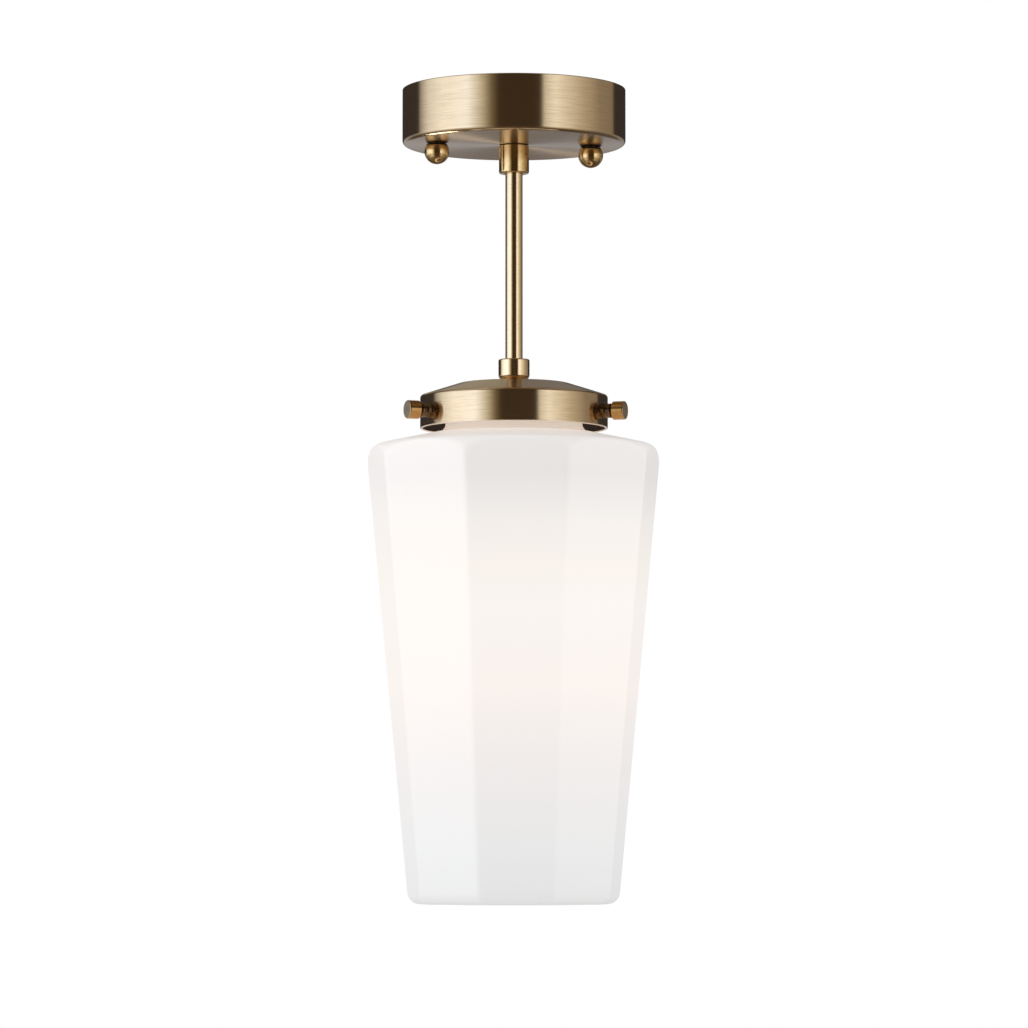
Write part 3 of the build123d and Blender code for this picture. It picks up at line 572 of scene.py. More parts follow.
# Each takes over from those before it as the direction's upward share goes from start to end
ROOM = (
    (ROOM_LEVEL, None, None),
    (ROOM_BELOW, 0.02, -0.08),
    (ROOM_LOW, -0.24, -0.38),
    (ROOM_FLOOR, -0.60, -0.85),
    (ROOM_ABOVE, 0.20, 0.32),
    (ROOM_HIGH, 0.55, 0.75),
)


# What a user may change


def colour_setting(name, description, default):
    return FloatVectorProperty(
        name=name, description=description, subtype="COLOR", size=3, default=default, min=0.0, max=1.0
    )


class BrassFinish(bpy.types.PropertyGroup):
    colour: colour_setting("Colour", "Colour of the polished metal", (0.80, 0.60, 0.38))
    small_colour: colour_setting("Small Parts' Colour", "Colour of the collar and the ball nuts", (0.86, 0.60, 0.29))
    screw_colour: colour_setting("Screws' Colour", "Colour of the set screws", (0.50, 0.27, 0.09))
    dark_colour: colour_setting("Bushings' Colour", "Colour of the bronzed bushings", (0.16, 0.10, 0.055))
    roughness: FloatProperty(
        name="Roughness", description="Satin to matt", subtype="FACTOR", default=0.17, min=0.06, max=0.9
    )
    brushing: FloatProperty(
        name="Brushing", description="How far the brush lines draw a highlight out", subtype="FACTOR",
        default=0.75, min=0.0, max=1.0,
    )
    ageing: FloatProperty(
        name="Ageing", description="How far the colour darkens in streaks", subtype="FACTOR",
        default=0.12, min=0.0, max=0.6,
    )


class GlassFinish(bpy.types.PropertyGroup):
    wall: FloatProperty(
        name="Wall", description="Thickness of the blown glass", unit="LENGTH", default=0.0032, min=0.001, max=0.006
    )
    coat: FloatProperty(
        name="Gloss", description="Strength of the clear surface over the opal body", subtype="FACTOR",
        default=0.1, min=0.0, max=1.0,
    )
    # Strength of the bulb light painted on the glass as emission
    glow: FloatProperty(
        name="Glow", description="How strongly the bulb lights the glass, nought for off", default=1.0, min=0.0, max=2.0
    )


class StageSettings(bpy.types.PropertyGroup):
    floor_drop: FloatProperty(
        name="Floor Drop", description="From the ceiling to the floor", unit="LENGTH", default=3.0, min=1.0, max=6.0
    )
    floor_radius: FloatProperty(
        name="Floor Radius", description="Radius of the round floor", unit="LENGTH", default=9.0, min=2.0, max=30.0
    )
    ambient: FloatProperty(
        name="Room Light", description="Even light from all round", default=0.72, min=0.0, max=2.0
    )
    left_lamp: FloatProperty(
        name="Left Lamp", description="Power of the soft lamp on the left", subtype="POWER", default=18.0, min=0.0
    )
    right_lamp: FloatProperty(
        name="Right Lamp", description="Power of the soft lamp on the right", subtype="POWER", default=9.5, min=0.0
    )
    low_lamp: FloatProperty(
        name="Low Lamp", description="Power of the small lamp below and behind", subtype="POWER", default=1.4, min=0.0
    )
    camera_distance: FloatProperty(
        name="Camera Distance", description="From the stem's axis to the camera", unit="LENGTH", default=2.825, min=0.5
    )
    camera_height: FloatProperty(
        name="Camera Height", description="Height of the camera, from the ceiling", unit="LENGTH", default=-0.4375
    )
    camera_side: FloatProperty(
        name="Camera Side", description="Turn of the camera about the stem", unit="ROTATION", default=radians(1.1)
    )
    camera_pitch: FloatProperty(
        name="Camera Pitch", description="How far the camera looks up", unit="ROTATION", default=radians(3.958)
    )
    lens: FloatProperty(
        name="Lens", description="Focal length on a 36 mm wide sensor", default=175.097, min=20.0, max=400.0
    )


class PendantSettings(bpy.types.PropertyGroup):
    brass: PointerProperty(type=BrassFinish)
    glass: PointerProperty(type=GlassFinish)
    stage: PointerProperty(type=StageSettings)


def material(name):
    """The finish of that name, made on its first use."""
    found = bpy.data.materials.get(name + "_finish")
    if found:
        return found
    if name == "opal_glass":
        return opal_material()
    if name in BRASSES:
        setting, tint, options = BRASSES[name]
        colour = tuple(getattr(bpy.context.scene.pendant.brass, setting))
        return brass_material(name, tinted(colour, tint), **options)
    colour, roughness, grain, options = OTHER_FINISHES[name]
    return mottled_material(name, colour, roughness, grain, **options)


# The setting that gives each brass its colour, how far it is lightened, and what sets it apart
BRASSES = {
    "antique_brass": ("colour", 1.0, {}),
    "brushed_underside": ("colour", 1.0, {"rougher": 0.07, "drawn": 0.15}),
    "stem_brass": ("colour", 1.2, {"rougher": -0.04, "rings": 1150.0}),
    "turned_brass": ("small_colour", 1.0, {"rougher": -0.04, "spots": 2.0}),
    "screw_brass": ("screw_colour", 1.0, {"spots": 2.0}),
    "bronzed_brass": ("dark_colour", 1.0, {}),
}

# Colour, roughness, grains in a metre, and what sets the finish apart
OTHER_FINISHES = {
    "faced_brass": ((0.60, 0.49, 0.36), 0.5, 1500.0, {"change": 0.15, "Metallic": 1.0}),
    # Lighter, paler brass on the fitter band's rolled lower edge: a painted highlight, the glowing glass reflected in
    # it
    "rolled_rim": ((0.88, 0.76, 0.63), 0.3, 900.0, {"change": 0.08, "Metallic": 1.0}),
    # Near black in the thin gaps at the ball nuts' necks and under the collar's top: painted shade in the gap, with
    # some patina
    "patina": ((0.012, 0.008, 0.005), 0.7, 900.0, {"change": 0.4, "Metallic": 0.2}),
    # Near black for the insides of the canopy and fitter cap: painted shade inside the hollows
    "raw_inside": ((0.03, 0.021, 0.015), 0.5, 300.0, {"change": 0.3, "Metallic": 0.6}),
    "zinc_plated_steel": (
        (0.58, 0.59, 0.61), 0.36, 900.0, {"stretch": (1, 0.12, 1), "change": 0.10, "Metallic": 1.0}
    ),
    "green_steel": ((0.04, 0.27, 0.09), 0.34, 700.0, {"change": 0.25, "Metallic": 0.7}),
    "tinned_copper": ((0.66, 0.58, 0.50), 0.30, 800.0, {"change": 0.14, "Metallic": 1.0}),
    "socket_brass": ((0.78, 0.58, 0.28), 0.24, 700.0, {"change": 0.14, "Metallic": 1.0}),
    "porcelain": (
        (0.80, 0.785, 0.75), 0.32, 260.0,
        {"change": 0.05, "dent": 0.00012, "Coat_Weight": 1.0, "Coat_Roughness": 0.08},
    ),
    "frosted_glass": (
        (0.76, 0.74, 0.70), 0.5, 500.0,
        {
            "change": 0.04, "dent": 0.00005, "Emission_Color": (1.0, 0.80, 0.52, 1.0), "Emission_Strength": 0.3,
            "Coat_Weight": 0.5, "Coat_Roughness": 0.3,
        },
    ),
    "clear_glass": (
        (0.93, 0.95, 0.95), 0.04, 300.0,
        {"change": 0.03, "dent": 0.0001, "Transmission_Weight": 1.0, "IOR": 1.5},
    ),
    "black_glass": (
        (0.02, 0.02, 0.024), 0.12, 400.0, {"change": 0.3, "Coat_Weight": 0.6, "Coat_Roughness": 0.05}
    ),
    "nickel_cap": ((0.72, 0.70, 0.66), 0.22, 700.0, {"stretch": (1, 1, 0.2), "change": 0.08, "Metallic": 1.0}),
    "solder": ((0.55, 0.55, 0.57), 0.34, 600.0, {"change": 0.12, "Metallic": 1.0}),
    "filament": (
        (0.80, 0.50, 0.22), 0.4, 900.0,
        {"Metallic": 0.6, "Emission_Color": (1.0, 0.62, 0.26, 1.0), "Emission_Strength": 4.0},
    ),
    "black_lead": ((0.030, 0.030, 0.032), 0.42, 800.0, {"stretch": (1, 1, 0.15), "change": 0.25}),
    "white_lead": ((0.78, 0.78, 0.75), 0.42, 800.0, {"stretch": (1, 1, 0.15), "change": 0.06}),
    "green_lead": ((0.05, 0.27, 0.10), 0.42, 800.0, {"stretch": (1, 1, 0.15), "change": 0.18}),
    "orange_plastic": ((0.72, 0.22, 0.035), 0.46, 1100.0, {"change": 0.10, "dent": 0.00006}),
}


def dress(*nodes):
    """Gives solids that stay as they are the material of their slot in the record."""
    slots = {row["node"]: row["material_slot"] for row in frame["record"]["subparts"]}
    for node in nodes:
        mesh = frame["nodes"][node].data
        mesh.materials.clear()
        mesh.materials.append(material(slots[node]))


# Pieces


LAMP_AWAY, LAMP_LEVEL, LAMP_TILT = 2.2, -0.15, 0.08
FLOOR_SIDES = 96


def add_lamp(name, shape, size, power, place, turn):
    """A soft lamp that the camera doesn't see."""
    light = bpy.data.lights.new(name, "AREA")
    light.shape = shape
    light.size, light.size_y = size
    light.energy = power
    lamp = bpy.data.objects.new(name, light)
    lamp.location, lamp.rotation_euler = place, turn
    lamp.visible_camera = False
    bpy.context.scene.collection.objects.link(lamp)
    return lamp


class PENDANT_OT_stage(bpy.types.Operator):
    """Camera, floor, soft lamps and the studio round them.

    The side lamps and the floor don't show in the metal. The low lamp lights the canopy's
    dish alone.
    """

    bl_idname = "pendant.stage"
    bl_label = "Stage"

    def execute(self, context):
        stage = context.scene.pendant.stage
        context.scene.view_settings.view_transform = "Standard"
        camera = bpy.data.objects.new("camera", bpy.data.cameras.new("camera"))
        camera.data.sensor_width = 36.0
        camera.data.lens = stage.lens
        camera.data.clip_end = 60.0
        side, away = stage.camera_side, stage.camera_distance
        camera.location = (-sin(side) * away, -cos(side) * away, stage.camera_height)
        camera.rotation_euler = (pi / 2 + stage.camera_pitch, 0.0, -side)
        context.scene.collection.objects.link(camera)
        context.scene.camera = camera
        for name, azimuth, power in (("lamp_left", -80.0, stage.left_lamp), ("lamp_right", 85.0, stage.right_lamp)):
            angle = radians(azimuth)
            place = (LAMP_AWAY * sin(angle), -LAMP_AWAY * cos(angle), LAMP_LEVEL)
            turn = (pi / 2 - LAMP_TILT, 0.0, angle)
            add_lamp(name, "RECTANGLE", (1.2, 1.6), power, place, turn).visible_glossy = False
        left, back, low, aim = 0.35, 0.61, -0.73, 0.7
        turn = (pi + atan2(back, aim), 0.0, atan2(left, back))
        lamp = add_lamp("lamp_low", "DISK", (0.24, 0.24), stage.low_lamp, (-left, back, low), turn)
        lamp.data.color = (1.0, 0.93, 0.82)
        lamp.light_linking.receiver_collection = bpy.data.collections.new("lit_from_below")
        world_material()
        rim = turned([(stage.floor_radius, -stage.floor_drop)], FLOOR_SIDES)[0]
        mesh = bpy.data.meshes.new("floor")
        mesh.from_pydata(rim.tolist(), [], [list(range(FLOOR_SIDES))])
        shader = Shader("floor_paint", Roughness=0.8, Specular_IOR_Level=0.2)
        clouds = shader.noise(shader.stretched((1, 1, 1)), 0.8, 2.0)
        mesh.materials.append(
            shader.feed(Base_Color=shader.ramp(clouds, [(0.3, (0.80, 0.80, 0.79)), (0.7, (0.83, 0.83, 0.82))]))
        )
        floor = bpy.data.objects.new("floor", mesh)
        floor.visible_glossy = False
        context.scene.collection.objects.link(floor)
        return {"FINISHED"}


class PENDANT_OT_canopy(bpy.types.Operator):
    """Spun canopy: a dish turned from one sheet, open to the ceiling."""

    bl_idname = "pendant.canopy"
    bl_label = "Canopy"

    def execute(self, context):
        radius, bottom, wall, bore, bend = CANOPY_HIGH[0], CANOPY_LOW[2], 1.0, 4.9, 2.5
        profile = rounded_profile(
            [
                (bore, bottom + wall / 2), (bore, bottom), (radius, bottom), (radius, 0), (radius - wall, 0),
                (radius - wall, bottom + wall), (bore, bottom + wall), (bore, bottom + wall / 2),
            ],
            [0.15, bend, 0.45, 0.45, 1.5, 0.15],
            steps=8,
        )[:-1]
        side = first_point(profile[:, 0] > radius - bend)
        # From here the inside of the dish is near black: painted shade
        shaded_inside_start = inside_ring(profile, radius - wall, profile[:, 1].argmax())
        dish = add_piece(
            "canopy_dish", [(turned(profile, 192), True)], "brushed_underside", "lamp", "canopy",
            others=[("antique_brass", side), ("raw_inside", shaded_inside_start)],
        )
        bpy.data.collections["lit_from_below"].objects.link(dish)
        return {"FINISHED"}


class PENDANT_OT_ball_nuts(bpy.types.Operator):
    """The two ball-shaped cap nuts, flat where they seat and bored for their studs."""

    bl_idname = "pendant.ball_nuts"
    bl_label = "Ball Nuts"

    def execute(self, context):
        for side in ("left", "right"):
            low, high = node_box("canopy_nut_" + side)
            centre, seat = (low + high)[:2] / 2, high[2]
            gap, neck, fuller = 0.35, 4.2, 0.3
            radius = (high[0] - low[0]) / 2 + fuller
            middle = low[2] + radius - fuller
            shoulder = seat - gap
            rise = shoulder - middle
            angle = np.linspace(atan2(rise, np.sqrt(radius ** 2 - rise ** 2)), -pi / 2, 40)
            ball = np.stack([radius * np.cos(angle), middle + radius * np.sin(angle)], 1)
            ball[-1, 0] = 0.0
            bore, depth = 2.16, 9.6
            mouth = rounded_profile(
                [
                    (0, seat - depth), (bore, seat - depth), (bore, seat), (neck, seat), (neck, shoulder),
                    tuple(ball[0]), tuple(ball[1]),
                ],
                [0.2, 0.25, 0.1, 0.1, 0.1],
            )
            profile = np.concatenate([mouth, ball[2:]])
            # A near black ring in the gap under the seat is painted shade, with some patina; the brass comes back past
            # it
            painted_gap_start = first_point(np.isclose(profile[:, 0], neck))
            past_painted_gap = first_point(profile[:, 0] > np.hypot(neck, 4.4))
            points = turned(profile, 72)
            points[..., :2] += centre
            add_piece(
                "ball_nut_" + side, [(points, False)], "turned_brass", "nut_" + side, "canopy_nut_" + side,
                others=[("patina", painted_gap_start), ("turned_brass", past_painted_gap)],
            )
        return {"FINISHED"}


class PENDANT_OT_stem(bpy.types.Operator):
    """Collar, stem tube, coupling and spacer ring, turned on one axis."""

    bl_idname = "pendant.stem"
    bl_label = "Stem"

    def execute(self, context):
        low, high = node_box("stem_collar")
        radius, bore, mouth, seat, gap = high[0], 4.9, 5.4, 5.0, 0.45
        collar = rounded_profile(
            [
                (bore, high[2] - 1), (bore, high[2]), (radius - 0.8, high[2]), (radius - 0.8, high[2] - gap),
                (radius, high[2] - gap), (radius, low[2]), (mouth, low[2]), (mouth, high[2] - seat),
                (bore, high[2] - seat), (bore, high[2] - 1),
            ],
            [0.2, 0.1, 0.1, 0.2, 1.0, 0.3, 0.1, 0.1],
        )[:-1]
        # A near black ring in the undercut under the canopy is painted shade, with some patina; the brass comes back
        # past it
        painted_gap_start = first_point(collar[:, 0] > radius - 1.0)
        past_painted_gap = first_point(collar[:, 0] > radius - 0.3)
        add_piece(
            "collar", [(turned(collar, 96), True)], "turned_brass", "lamp", "stem_collar",
            others=[("patina", painted_gap_start), ("turned_brass", past_painted_gap)],
        )

        low, high = node_box("stem_tube")
        radius, inside, pitch, run = high[0], 3.7, 0.94, 10.5
        top = rounded_profile(
            [(inside, low[2] + 1), (inside, high[2]), (radius, high[2]), (radius, high[2] - 0.8)], [0.3, 0.3]
        )
        thread = straight((radius, high[2] - 0.8), (radius, high[2] - run), pitch / 6)
        side = straight((radius, high[2] - run), (radius, low[2]), 4.0)
        bottom = rounded_profile(
            [tuple(side[-1]), (radius, low[2]), (inside, low[2]), (inside, low[2] + 1)], [0.3, 0.3]
        )[1:-1]
        tube = turned(np.concatenate([top, thread, side, bottom]), 72)
        tube = threaded(tube, high[2] - run, high[2], pitch, 0.35)
        add_piece("stem", [(tube, True)], "stem_brass", "lamp", "stem_tube")

        low, high = node_box("fitter_coupling")
        coupling = ring_profile(bore, high[0], low[2], high[2], [0.2, 0.8, 2.4, 0.2], steps=10)
        add_piece("coupling", [(turned(coupling, 96), True)], "stem_brass", "lamp", "fitter_coupling")

        low, high = node_box("seat_washer")
        ring = ring_profile(bore, high[0], low[2], high[2], [0.15, 0.3, 0.3, 0.15])
        add_piece("spacer_ring", [(turned(ring, 72), True)], "turned_brass", "lamp", "seat_washer")
        return {"FINISHED"}


class PENDANT_OT_fitter_cap(bpy.types.Operator):
    """Fitter cap: flat top, sloping shoulder and upright band with a rolled lower edge."""

    bl_idname = "pendant.fitter_cap"
    bl_label = "Fitter Cap"

    def execute(self, context):
        band, low, top, wall = CAP_HIGH[0], CAP_LOW[2], CAP_HIGH[2], 1.0
        flat, slope, bore, roll, roll_top = 31.0, 7.1, 4.9, 1.5, low + 1.3
        profile = rounded_profile(
            [
                (bore, top - wall / 2), (bore, top), (flat, top), (band, top - slope), (band, low),
                (band - roll, low), (band - roll, roll_top), (band - wall, roll_top),
                (band - wall, top - slope - 0.7), (flat, top - wall), (bore, top - wall), (bore, top - wall / 2),
            ],
            [0.15, 7.0, 1.6, 0.5, 0.5, 0.4, 0.2, 1.0, 6.0, 0.15],
            steps=9,
        )[:-1]
        # From here the band's rolled edge takes the lighter brass, a painted highlight of the glass below
        rim = first_point((profile[:, 0] > band - 0.001) & (profile[:, 1] < low + 1))
        # From here the inside of the cap is near black: painted shade
        shaded_inside_start = inside_ring(profile, band - roll, profile[:, 1].argmin())
        add_piece(
            "cap_shell", [(turned(profile, 192), True)], "antique_brass", "lamp", "fitter_cap",
            others=[("rolled_rim", rim), ("raw_inside", shaded_inside_start)],
        )
        return {"FINISHED"}


class PENDANT_OT_set_screws(bpy.types.Operator):
    """Three turned bushings on the band, and the set screws that hold the glass."""

    bl_idname = "pendant.set_screws"
    bl_label = "Set Screws"

    def execute(self, context):
        band = CAP_HIGH[0]
        low, high = node_box("thumb_screw_1")
        level = (low[2] + high[2]) / 2
        face, start, bore, barrel, spigot = band + 5.3, band - 1.4, 2.05, 4.1, 3.0
        head, head_start, end, shank, tip = 5.2, 59.6, 66.7, 1.975, 39.1
        face_rings = 4
        bushings = []
        for number in (1, 2, 3):
            axis = joint_axis("screw_" + str(number) + "_out")
            origin = (0, 0, level)
            outer = rounded_profile(
                [
                    (bore, start + 1), (bore, face), (barrel, face), (barrel, face - 1.3), (barrel - 0.35, face - 1.6),
                    (barrel - 0.35, face - 1.9), (barrel, face - 2.2), (barrel, band),
                ],
                [0.15, 0.5, 0.1, 0.1, 0.1, 0.1],
                steps=4,
            )
            inner = rounded_profile(
                [(spigot, band), (spigot, start), (bore, start), (bore, start + 1)], [0.2, 0.2], steps=3
            )[:-1]
            points = turned(np.concatenate([outer, inner]), 48)
            foot = slice(len(outer) - 1, len(outer) + 1)
            points[foot, :, 2] = np.sqrt(band ** 2 - points[foot, :, 0] ** 2)
            bushings.append((along(points, origin, axis), True))
            screw = rounded_profile(
                [
                    (0, end), (head, end), (head, head_start), (shank, head_start), (shank, tip), (0, tip),
                ],
                [0.7, 0.35, 0.15, 0.5],
                steps=4,
            )
            screw = with_rings(screw, shank, FINE_PITCH / 6)
            points = threaded(turned(screw, 64), tip + 0.6, head_start - 0.4, FINE_PITCH, FINE_DEPTH)
            add_piece(
                "set_screw_" + str(number), [(along(points, origin, axis), False)], "faced_brass",
                "screw_" + str(number), "thumb_screw_" + str(number), others=[("screw_brass", face_rings)],
            )
        add_piece("bushings", bushings, "bronzed_brass", "lamp", "screw_bushings")
        return {"FINISHED"}


def nonagon(apothem, corner, angles):
    """Radius of a nine-sided outline with rounded corners at each angle.

    Along a side the radius is apothem / cos(angle from the side's middle). Round a corner it
    is c cos(d) + sqrt(corner^2 - c^2 sin(d)^2), where c is the distance of the corner arc's
    centre and d the angle from the corner. apothem and corner are columns, one for each row.
    """
    step = 2 * pi / 9
    across = np.abs((angles + pi / 2 + step / 2) % step - step / 2)
    side = apothem / np.cos(across)
    centre = (apothem - corner) / cos(step / 2)
    off = step / 2 - across
    root = np.sqrt(np.maximum(corner ** 2 - (centre * np.sin(off)) ** 2, 0))
    tangent = np.arctan2((apothem - corner) * tan(step / 2), apothem)
    return np.where(across > tangent, centre * np.cos(off) + root, side)


def soft_min(first, second, width):
    """The smaller of two lengths, eased over where they differ by less than width."""
    overlap = np.maximum(width - np.abs(first - second), 0) / width
    return np.minimum(first, second) - overlap ** 2 * width / 4


def shade_columns():
    """Angles round the shade, closer together at its nine corners."""
    half = np.concatenate([np.linspace(0, 0.76, 12, endpoint=False), np.linspace(0.76, 1, 7)])
    one = np.concatenate([-half[:0:-1], half[:-1]])
    step = 2 * pi / 9
    return ((np.arange(9)[:, None] + one[None, :] / 2) * step - pi / 2).ravel()


def shade_rings(inset, rows):
    """Rings of the shade's outer surface, or of the inner one set in by the wall.

    Down the side each ring is the nine-sided outline, which tapers evenly, kept inside the
    turned neck and shoulder. At the bottom it draws in round the edge's quarter turn, and
    runs over the crowned floor to the pole.
    """
    angles = shade_columns()
    neck, start, slope, side = 38.8, SHADE_HIGH[2] - 17.0, radians(12.1), 85.2
    crown, crown_reach, edge = 0.5, 50.0, 7.0 - inset
    floor = SHADE_LOW[2] + crown + inset
    bottom_corner, top_corner = 60.7, 85.2
    corner_z = start - tan(slope) * (side - neck)

    def apothem(z):
        taper = (top_corner - bottom_corner) / (corner_z - floor + inset)
        return (bottom_corner + taper * (z - floor + inset)) * cos(pi / 9) - inset

    drop = inset / cos(slope)
    shoulder = rounded_profile(
        [
            (neck - inset, SHADE_HIGH[2] - 4.0),
            (neck - inset, start + tan(slope) * inset - drop),
            (side - inset, corner_z + tan(slope) * inset - drop),
            (side - inset, floor),
        ],
        [5.0 + inset, 12.0 - inset],
        steps=rows,
    )
    levels = np.concatenate([shoulder[:-1, 1], np.linspace(shoulder[-2, 1], floor + edge, 16)[1:]])
    limits = np.concatenate([shoulder[:-1, 0], np.full(15, side - inset)])
    outline = nonagon(apothem(levels)[:, None], np.full((len(levels), 1), 5.0 - inset / 2), angles[None, :])
    radii = soft_min(limits[:, None], outline, 1.6)
    radii[levels > start - 2] = limits[levels > start - 2, None]

    turn = np.linspace(0, pi / 2, 9)[1:]
    pull = edge * (1 - np.cos(turn))
    bend = nonagon(
        (apothem(floor + edge) - pull)[:, None], np.maximum(5.0 - inset / 2 - pull, 0.3)[:, None], angles[None, :]
    )
    bend_z = floor + edge * (1 - np.sin(turn))
    share = np.linspace(1, 0, 14)[1:, None]
    inner = share * (share * bend[-1] + (1 - share) * crown_reach)
    every = np.concatenate([radii, bend, inner])
    heights = np.concatenate([levels, bend_z])[:, None] + np.zeros(len(angles))
    dome = floor - crown * np.maximum(1 - (inner / crown_reach) ** 2, 0)
    heights = np.concatenate([heights, dome])
    return np.stack([every * np.cos(angles), every * np.sin(angles), heights], -1)


class PENDANT_OT_shade(bpy.types.Operator):
    """Opal glass shade: lip, neck, sloping shoulder, nine tapering sides and crowned floor."""

    bl_idname = "pendant.shade"
    bl_label = "Glass Shade"

    def execute(self, context):
        wall = context.scene.pendant.glass.wall / MM
        outside = shade_rings(0.0, 22)
        inside = shade_rings(wall, 12)
        lip_top, lip_radius, neck = SHADE_HIGH[2], 49.2, 38.8
        lip = rounded_profile(
            [
                (neck - wall, lip_top - 4.0), (neck - wall, lip_top), (lip_radius, lip_top),
                (lip_radius, lip_top - 5.0), (neck, lip_top - 5.0), (neck, lip_top - 7.0),
            ],
            [1.0, 1.2, 1.2, 0.8],
            steps=5,
        )
        below = outside[1:][outside[1:, 0, 2] < lip_top - 7.0]
        points = np.concatenate([inside[::-1], swept(lip, shade_columns())[1:], below])
        add_piece("shade", [(points, False)], "opal_glass", "shade", "glass_shade")
        return {"FINISHED"}


class PENDANT_OT_bulb(bpy.types.Operator):
    """Frosted bulb with its screw cap, insulator, contact, mount and filament."""

    bl_idname = "pendant.bulb"
    bl_label = "Bulb"

    def execute(self, context):
        low, high = node_box("bulb_cap")
        radius, inside, pitch = high[0], high[0] - 1.1, 3.6
        top = rounded_profile([(inside, high[2] - 3), (inside, high[2]), (radius - 1.2, high[2])], [0.3])
        run = straight((radius, high[2] - 0.6), (radius, low[2] + 2.2), 0.3)
        bottom = rounded_profile([(radius, low[2] + 2.0), (radius, low[2]), (inside, low[2]), (inside, high[2] - 3)],
                                 [0.3, 0.2])[:-1]
        points = turned(np.concatenate([top, run, bottom]), 72)
        share = np.arange(72) / 72
        rows = slice(len(top), len(top) + len(run))
        height = points[rows, :, 2]
        fade = np.clip(np.minimum(height - low[2] - 2.2, high[2] - height) / pitch, 0, 1)
        wave = 0.5 - 0.5 * np.cos(2 * pi * (height / pitch - share))
        points[rows, :, :2] *= (1 - 0.9 * wave * fade / radius)[..., None]
        add_piece("bulb_screw_cap", [(points, True)], "nickel_cap", "bulb", "bulb_cap")
        dress("bulb_glass", "bulb_insulator", "bulb_contact", "bulb_mount", "bulb_filament")
        return {"FINISHED"}


class PENDANT_OT_lampholder(bpy.types.Operator):
    """Porcelain lampholder, its metal parts, and the tube and bracket that carry it."""

    bl_idname = "pendant.lampholder"
    bl_label = "Lampholder"

    def execute(self, context):
        dress(
            "lampholder_body", "lampholder_sleeve", "lampholder_contact", "terminal_screws", "lampholder_bracket",
            "bracket_screws", "fitter_tube", "fitter_lock_washer", "fitter_hex_nut",
        )
        return {"FINISHED"}


class PENDANT_OT_ceiling_fixings(bpy.types.Operator):
    """Strap, bar, studs, nuts and washers inside the canopy."""

    bl_idname = "pendant.ceiling_fixings"
    bl_label = "Ceiling Fixings"

    def execute(self, context):
        low, high = node_box("canopy_studs")
        radius, spacing = 2.085, 88.9
        ends = rounded_profile(
            [(0, high[2]), (radius, high[2]), (radius, low[2]), (0, low[2])], [0.4, 0.5], steps=4
        )
        profile = with_rings(ends, radius, FINE_PITCH / 6)
        studs = []
        for side in (-0.5, 0.5):
            points = threaded(turned(profile, 36), low[2] + 0.6, high[2] - 0.5, FINE_PITCH, FINE_DEPTH)
            points[..., :2] += np.array([cos(BAR_TURN), sin(BAR_TURN)]) * spacing * side
            studs.append((points, False))
        add_piece("studs", studs, "zinc_plated_steel", "bar", "canopy_studs")
        dress(
            "box_strap", "bar_retainer", "canopy_bar", "stud_lock_nuts", "ground_screw", "canopy_washer",
            "ground_lug", "stem_lock_washer", "stem_hex_nut",
        )
        return {"FINISHED"}


def ribbed_cap(origin, axis):
    """A tapered twist-on connector with its mouth at origin and its crown along axis.

    The radius drops by a rounded wave of twelve times the angle, which fades out towards the
    skirt round the mouth and towards the crown.
    """
    mouth, crown, length, bore, depth, skirt = 4.8, 3.3, CONNECTOR_LENGTH, 2.3, 8.0, 3.0
    profile = rounded_profile(
        [
            (0, depth), (bore, depth), (bore, 0), (mouth, 0), (mouth - 0.25, skirt), (mouth - 0.65, skirt + 0.3),
            (crown, length), (0, length),
        ],
        [0.3, 0.2, 0.4, 0.1, 0.2, 0.9],
        steps=4,
    )
    start = int(np.flatnonzero(profile[:, 0] > mouth - 1.2)[-1])
    side = straight(profile[start], profile[start + 1], 0.6)
    points = turned(np.concatenate([profile[: start + 1], side, profile[start + 1 :]]), 72)
    height = points[..., 2]
    fade = np.clip(np.minimum(height - skirt - 0.6, length - 1.0 - height) / 1.5, 0, 1)
    outside = np.hypot(points[..., 0], points[..., 1]) > bore + 0.5
    wave = 0.5 - 0.5 * np.cos(12 * np.arange(72) * 2 * pi / 72)
    points[..., :2] *= (1 - 0.11 * wave[None, :] * fade * outside)[..., None]
    return along(points, origin, axis), False


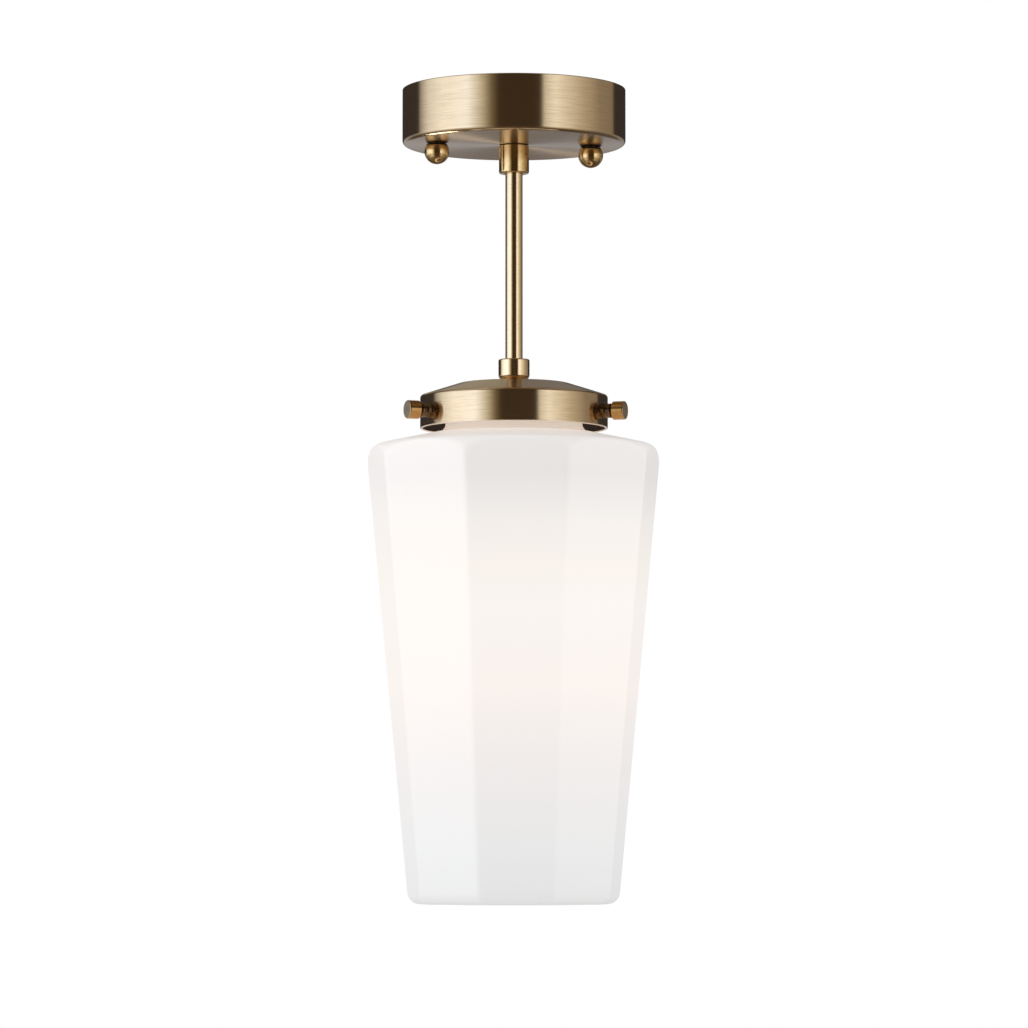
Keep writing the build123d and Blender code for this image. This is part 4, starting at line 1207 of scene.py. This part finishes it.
class PENDANT_OT_wiring(bpy.types.Operator):
    """Leads and their twist-on connectors."""

    bl_idname = "pendant.wiring"
    bl_label = "Wiring"

    def execute(self, context):
        top = node_box("wire_connectors")[1][2]
        rise, ground_out, leads_out = 9.0, 30.0, 19.0
        level = node_box("stem_tube")[1][2] + rise
        caps = [ribbed_cap((0, -ground_out, top - CONNECTOR_LENGTH), (0, 0, 1))]
        for azimuth in (radians(50), radians(130)):
            out = np.array([cos(azimuth), sin(azimuth), 0])
            caps.append(ribbed_cap(out * leads_out + (0, 0, level), out))
        add_piece("twist_connectors", caps, "orange_plastic", "lamp", "wire_connectors")
        dress("lead_black", "lead_white", "lead_ground")
        return {"FINISHED"}


PIECES = (
    PENDANT_OT_stage,
    PENDANT_OT_canopy,
    PENDANT_OT_ball_nuts,
    PENDANT_OT_stem,
    PENDANT_OT_fitter_cap,
    PENDANT_OT_set_screws,
    PENDANT_OT_shade,
    PENDANT_OT_bulb,
    PENDANT_OT_lampholder,
    PENDANT_OT_ceiling_fixings,
    PENDANT_OT_wiring,
)


class PENDANT_PT_panel(bpy.types.Panel):
    """Buttons for the pieces, and the finishes and stage that they use."""

    bl_label = "Pendant Light"
    bl_space_type = "VIEW_3D"
    bl_region_type = "UI"
    bl_category = "Pendant"

    def draw(self, context):
        settings = context.scene.pendant
        for group in (settings.brass, settings.glass, settings.stage):
            box = self.layout.box()
            for name in group.bl_rna.properties.keys():
                if name not in ("rna_type", "name"):
                    box.prop(group, name)
        for piece in PIECES:
            self.layout.operator(piece.bl_idname)


CLASSES = (BrassFinish, GlassFinish, StageSettings, PendantSettings, *PIECES, PENDANT_PT_panel)


def register():
    for each in CLASSES:
        bpy.utils.register_class(each)
    bpy.types.Scene.pendant = PointerProperty(type=PendantSettings)


def unregister():
    del bpy.types.Scene.pendant
    for each in reversed(CLASSES):
        bpy.utils.unregister_class(each)


def main():
    register()
    for piece in PIECES:
        getattr(bpy.ops.pendant, piece.bl_idname.split(".")[1])()


if __name__ == "__main__":
    main()
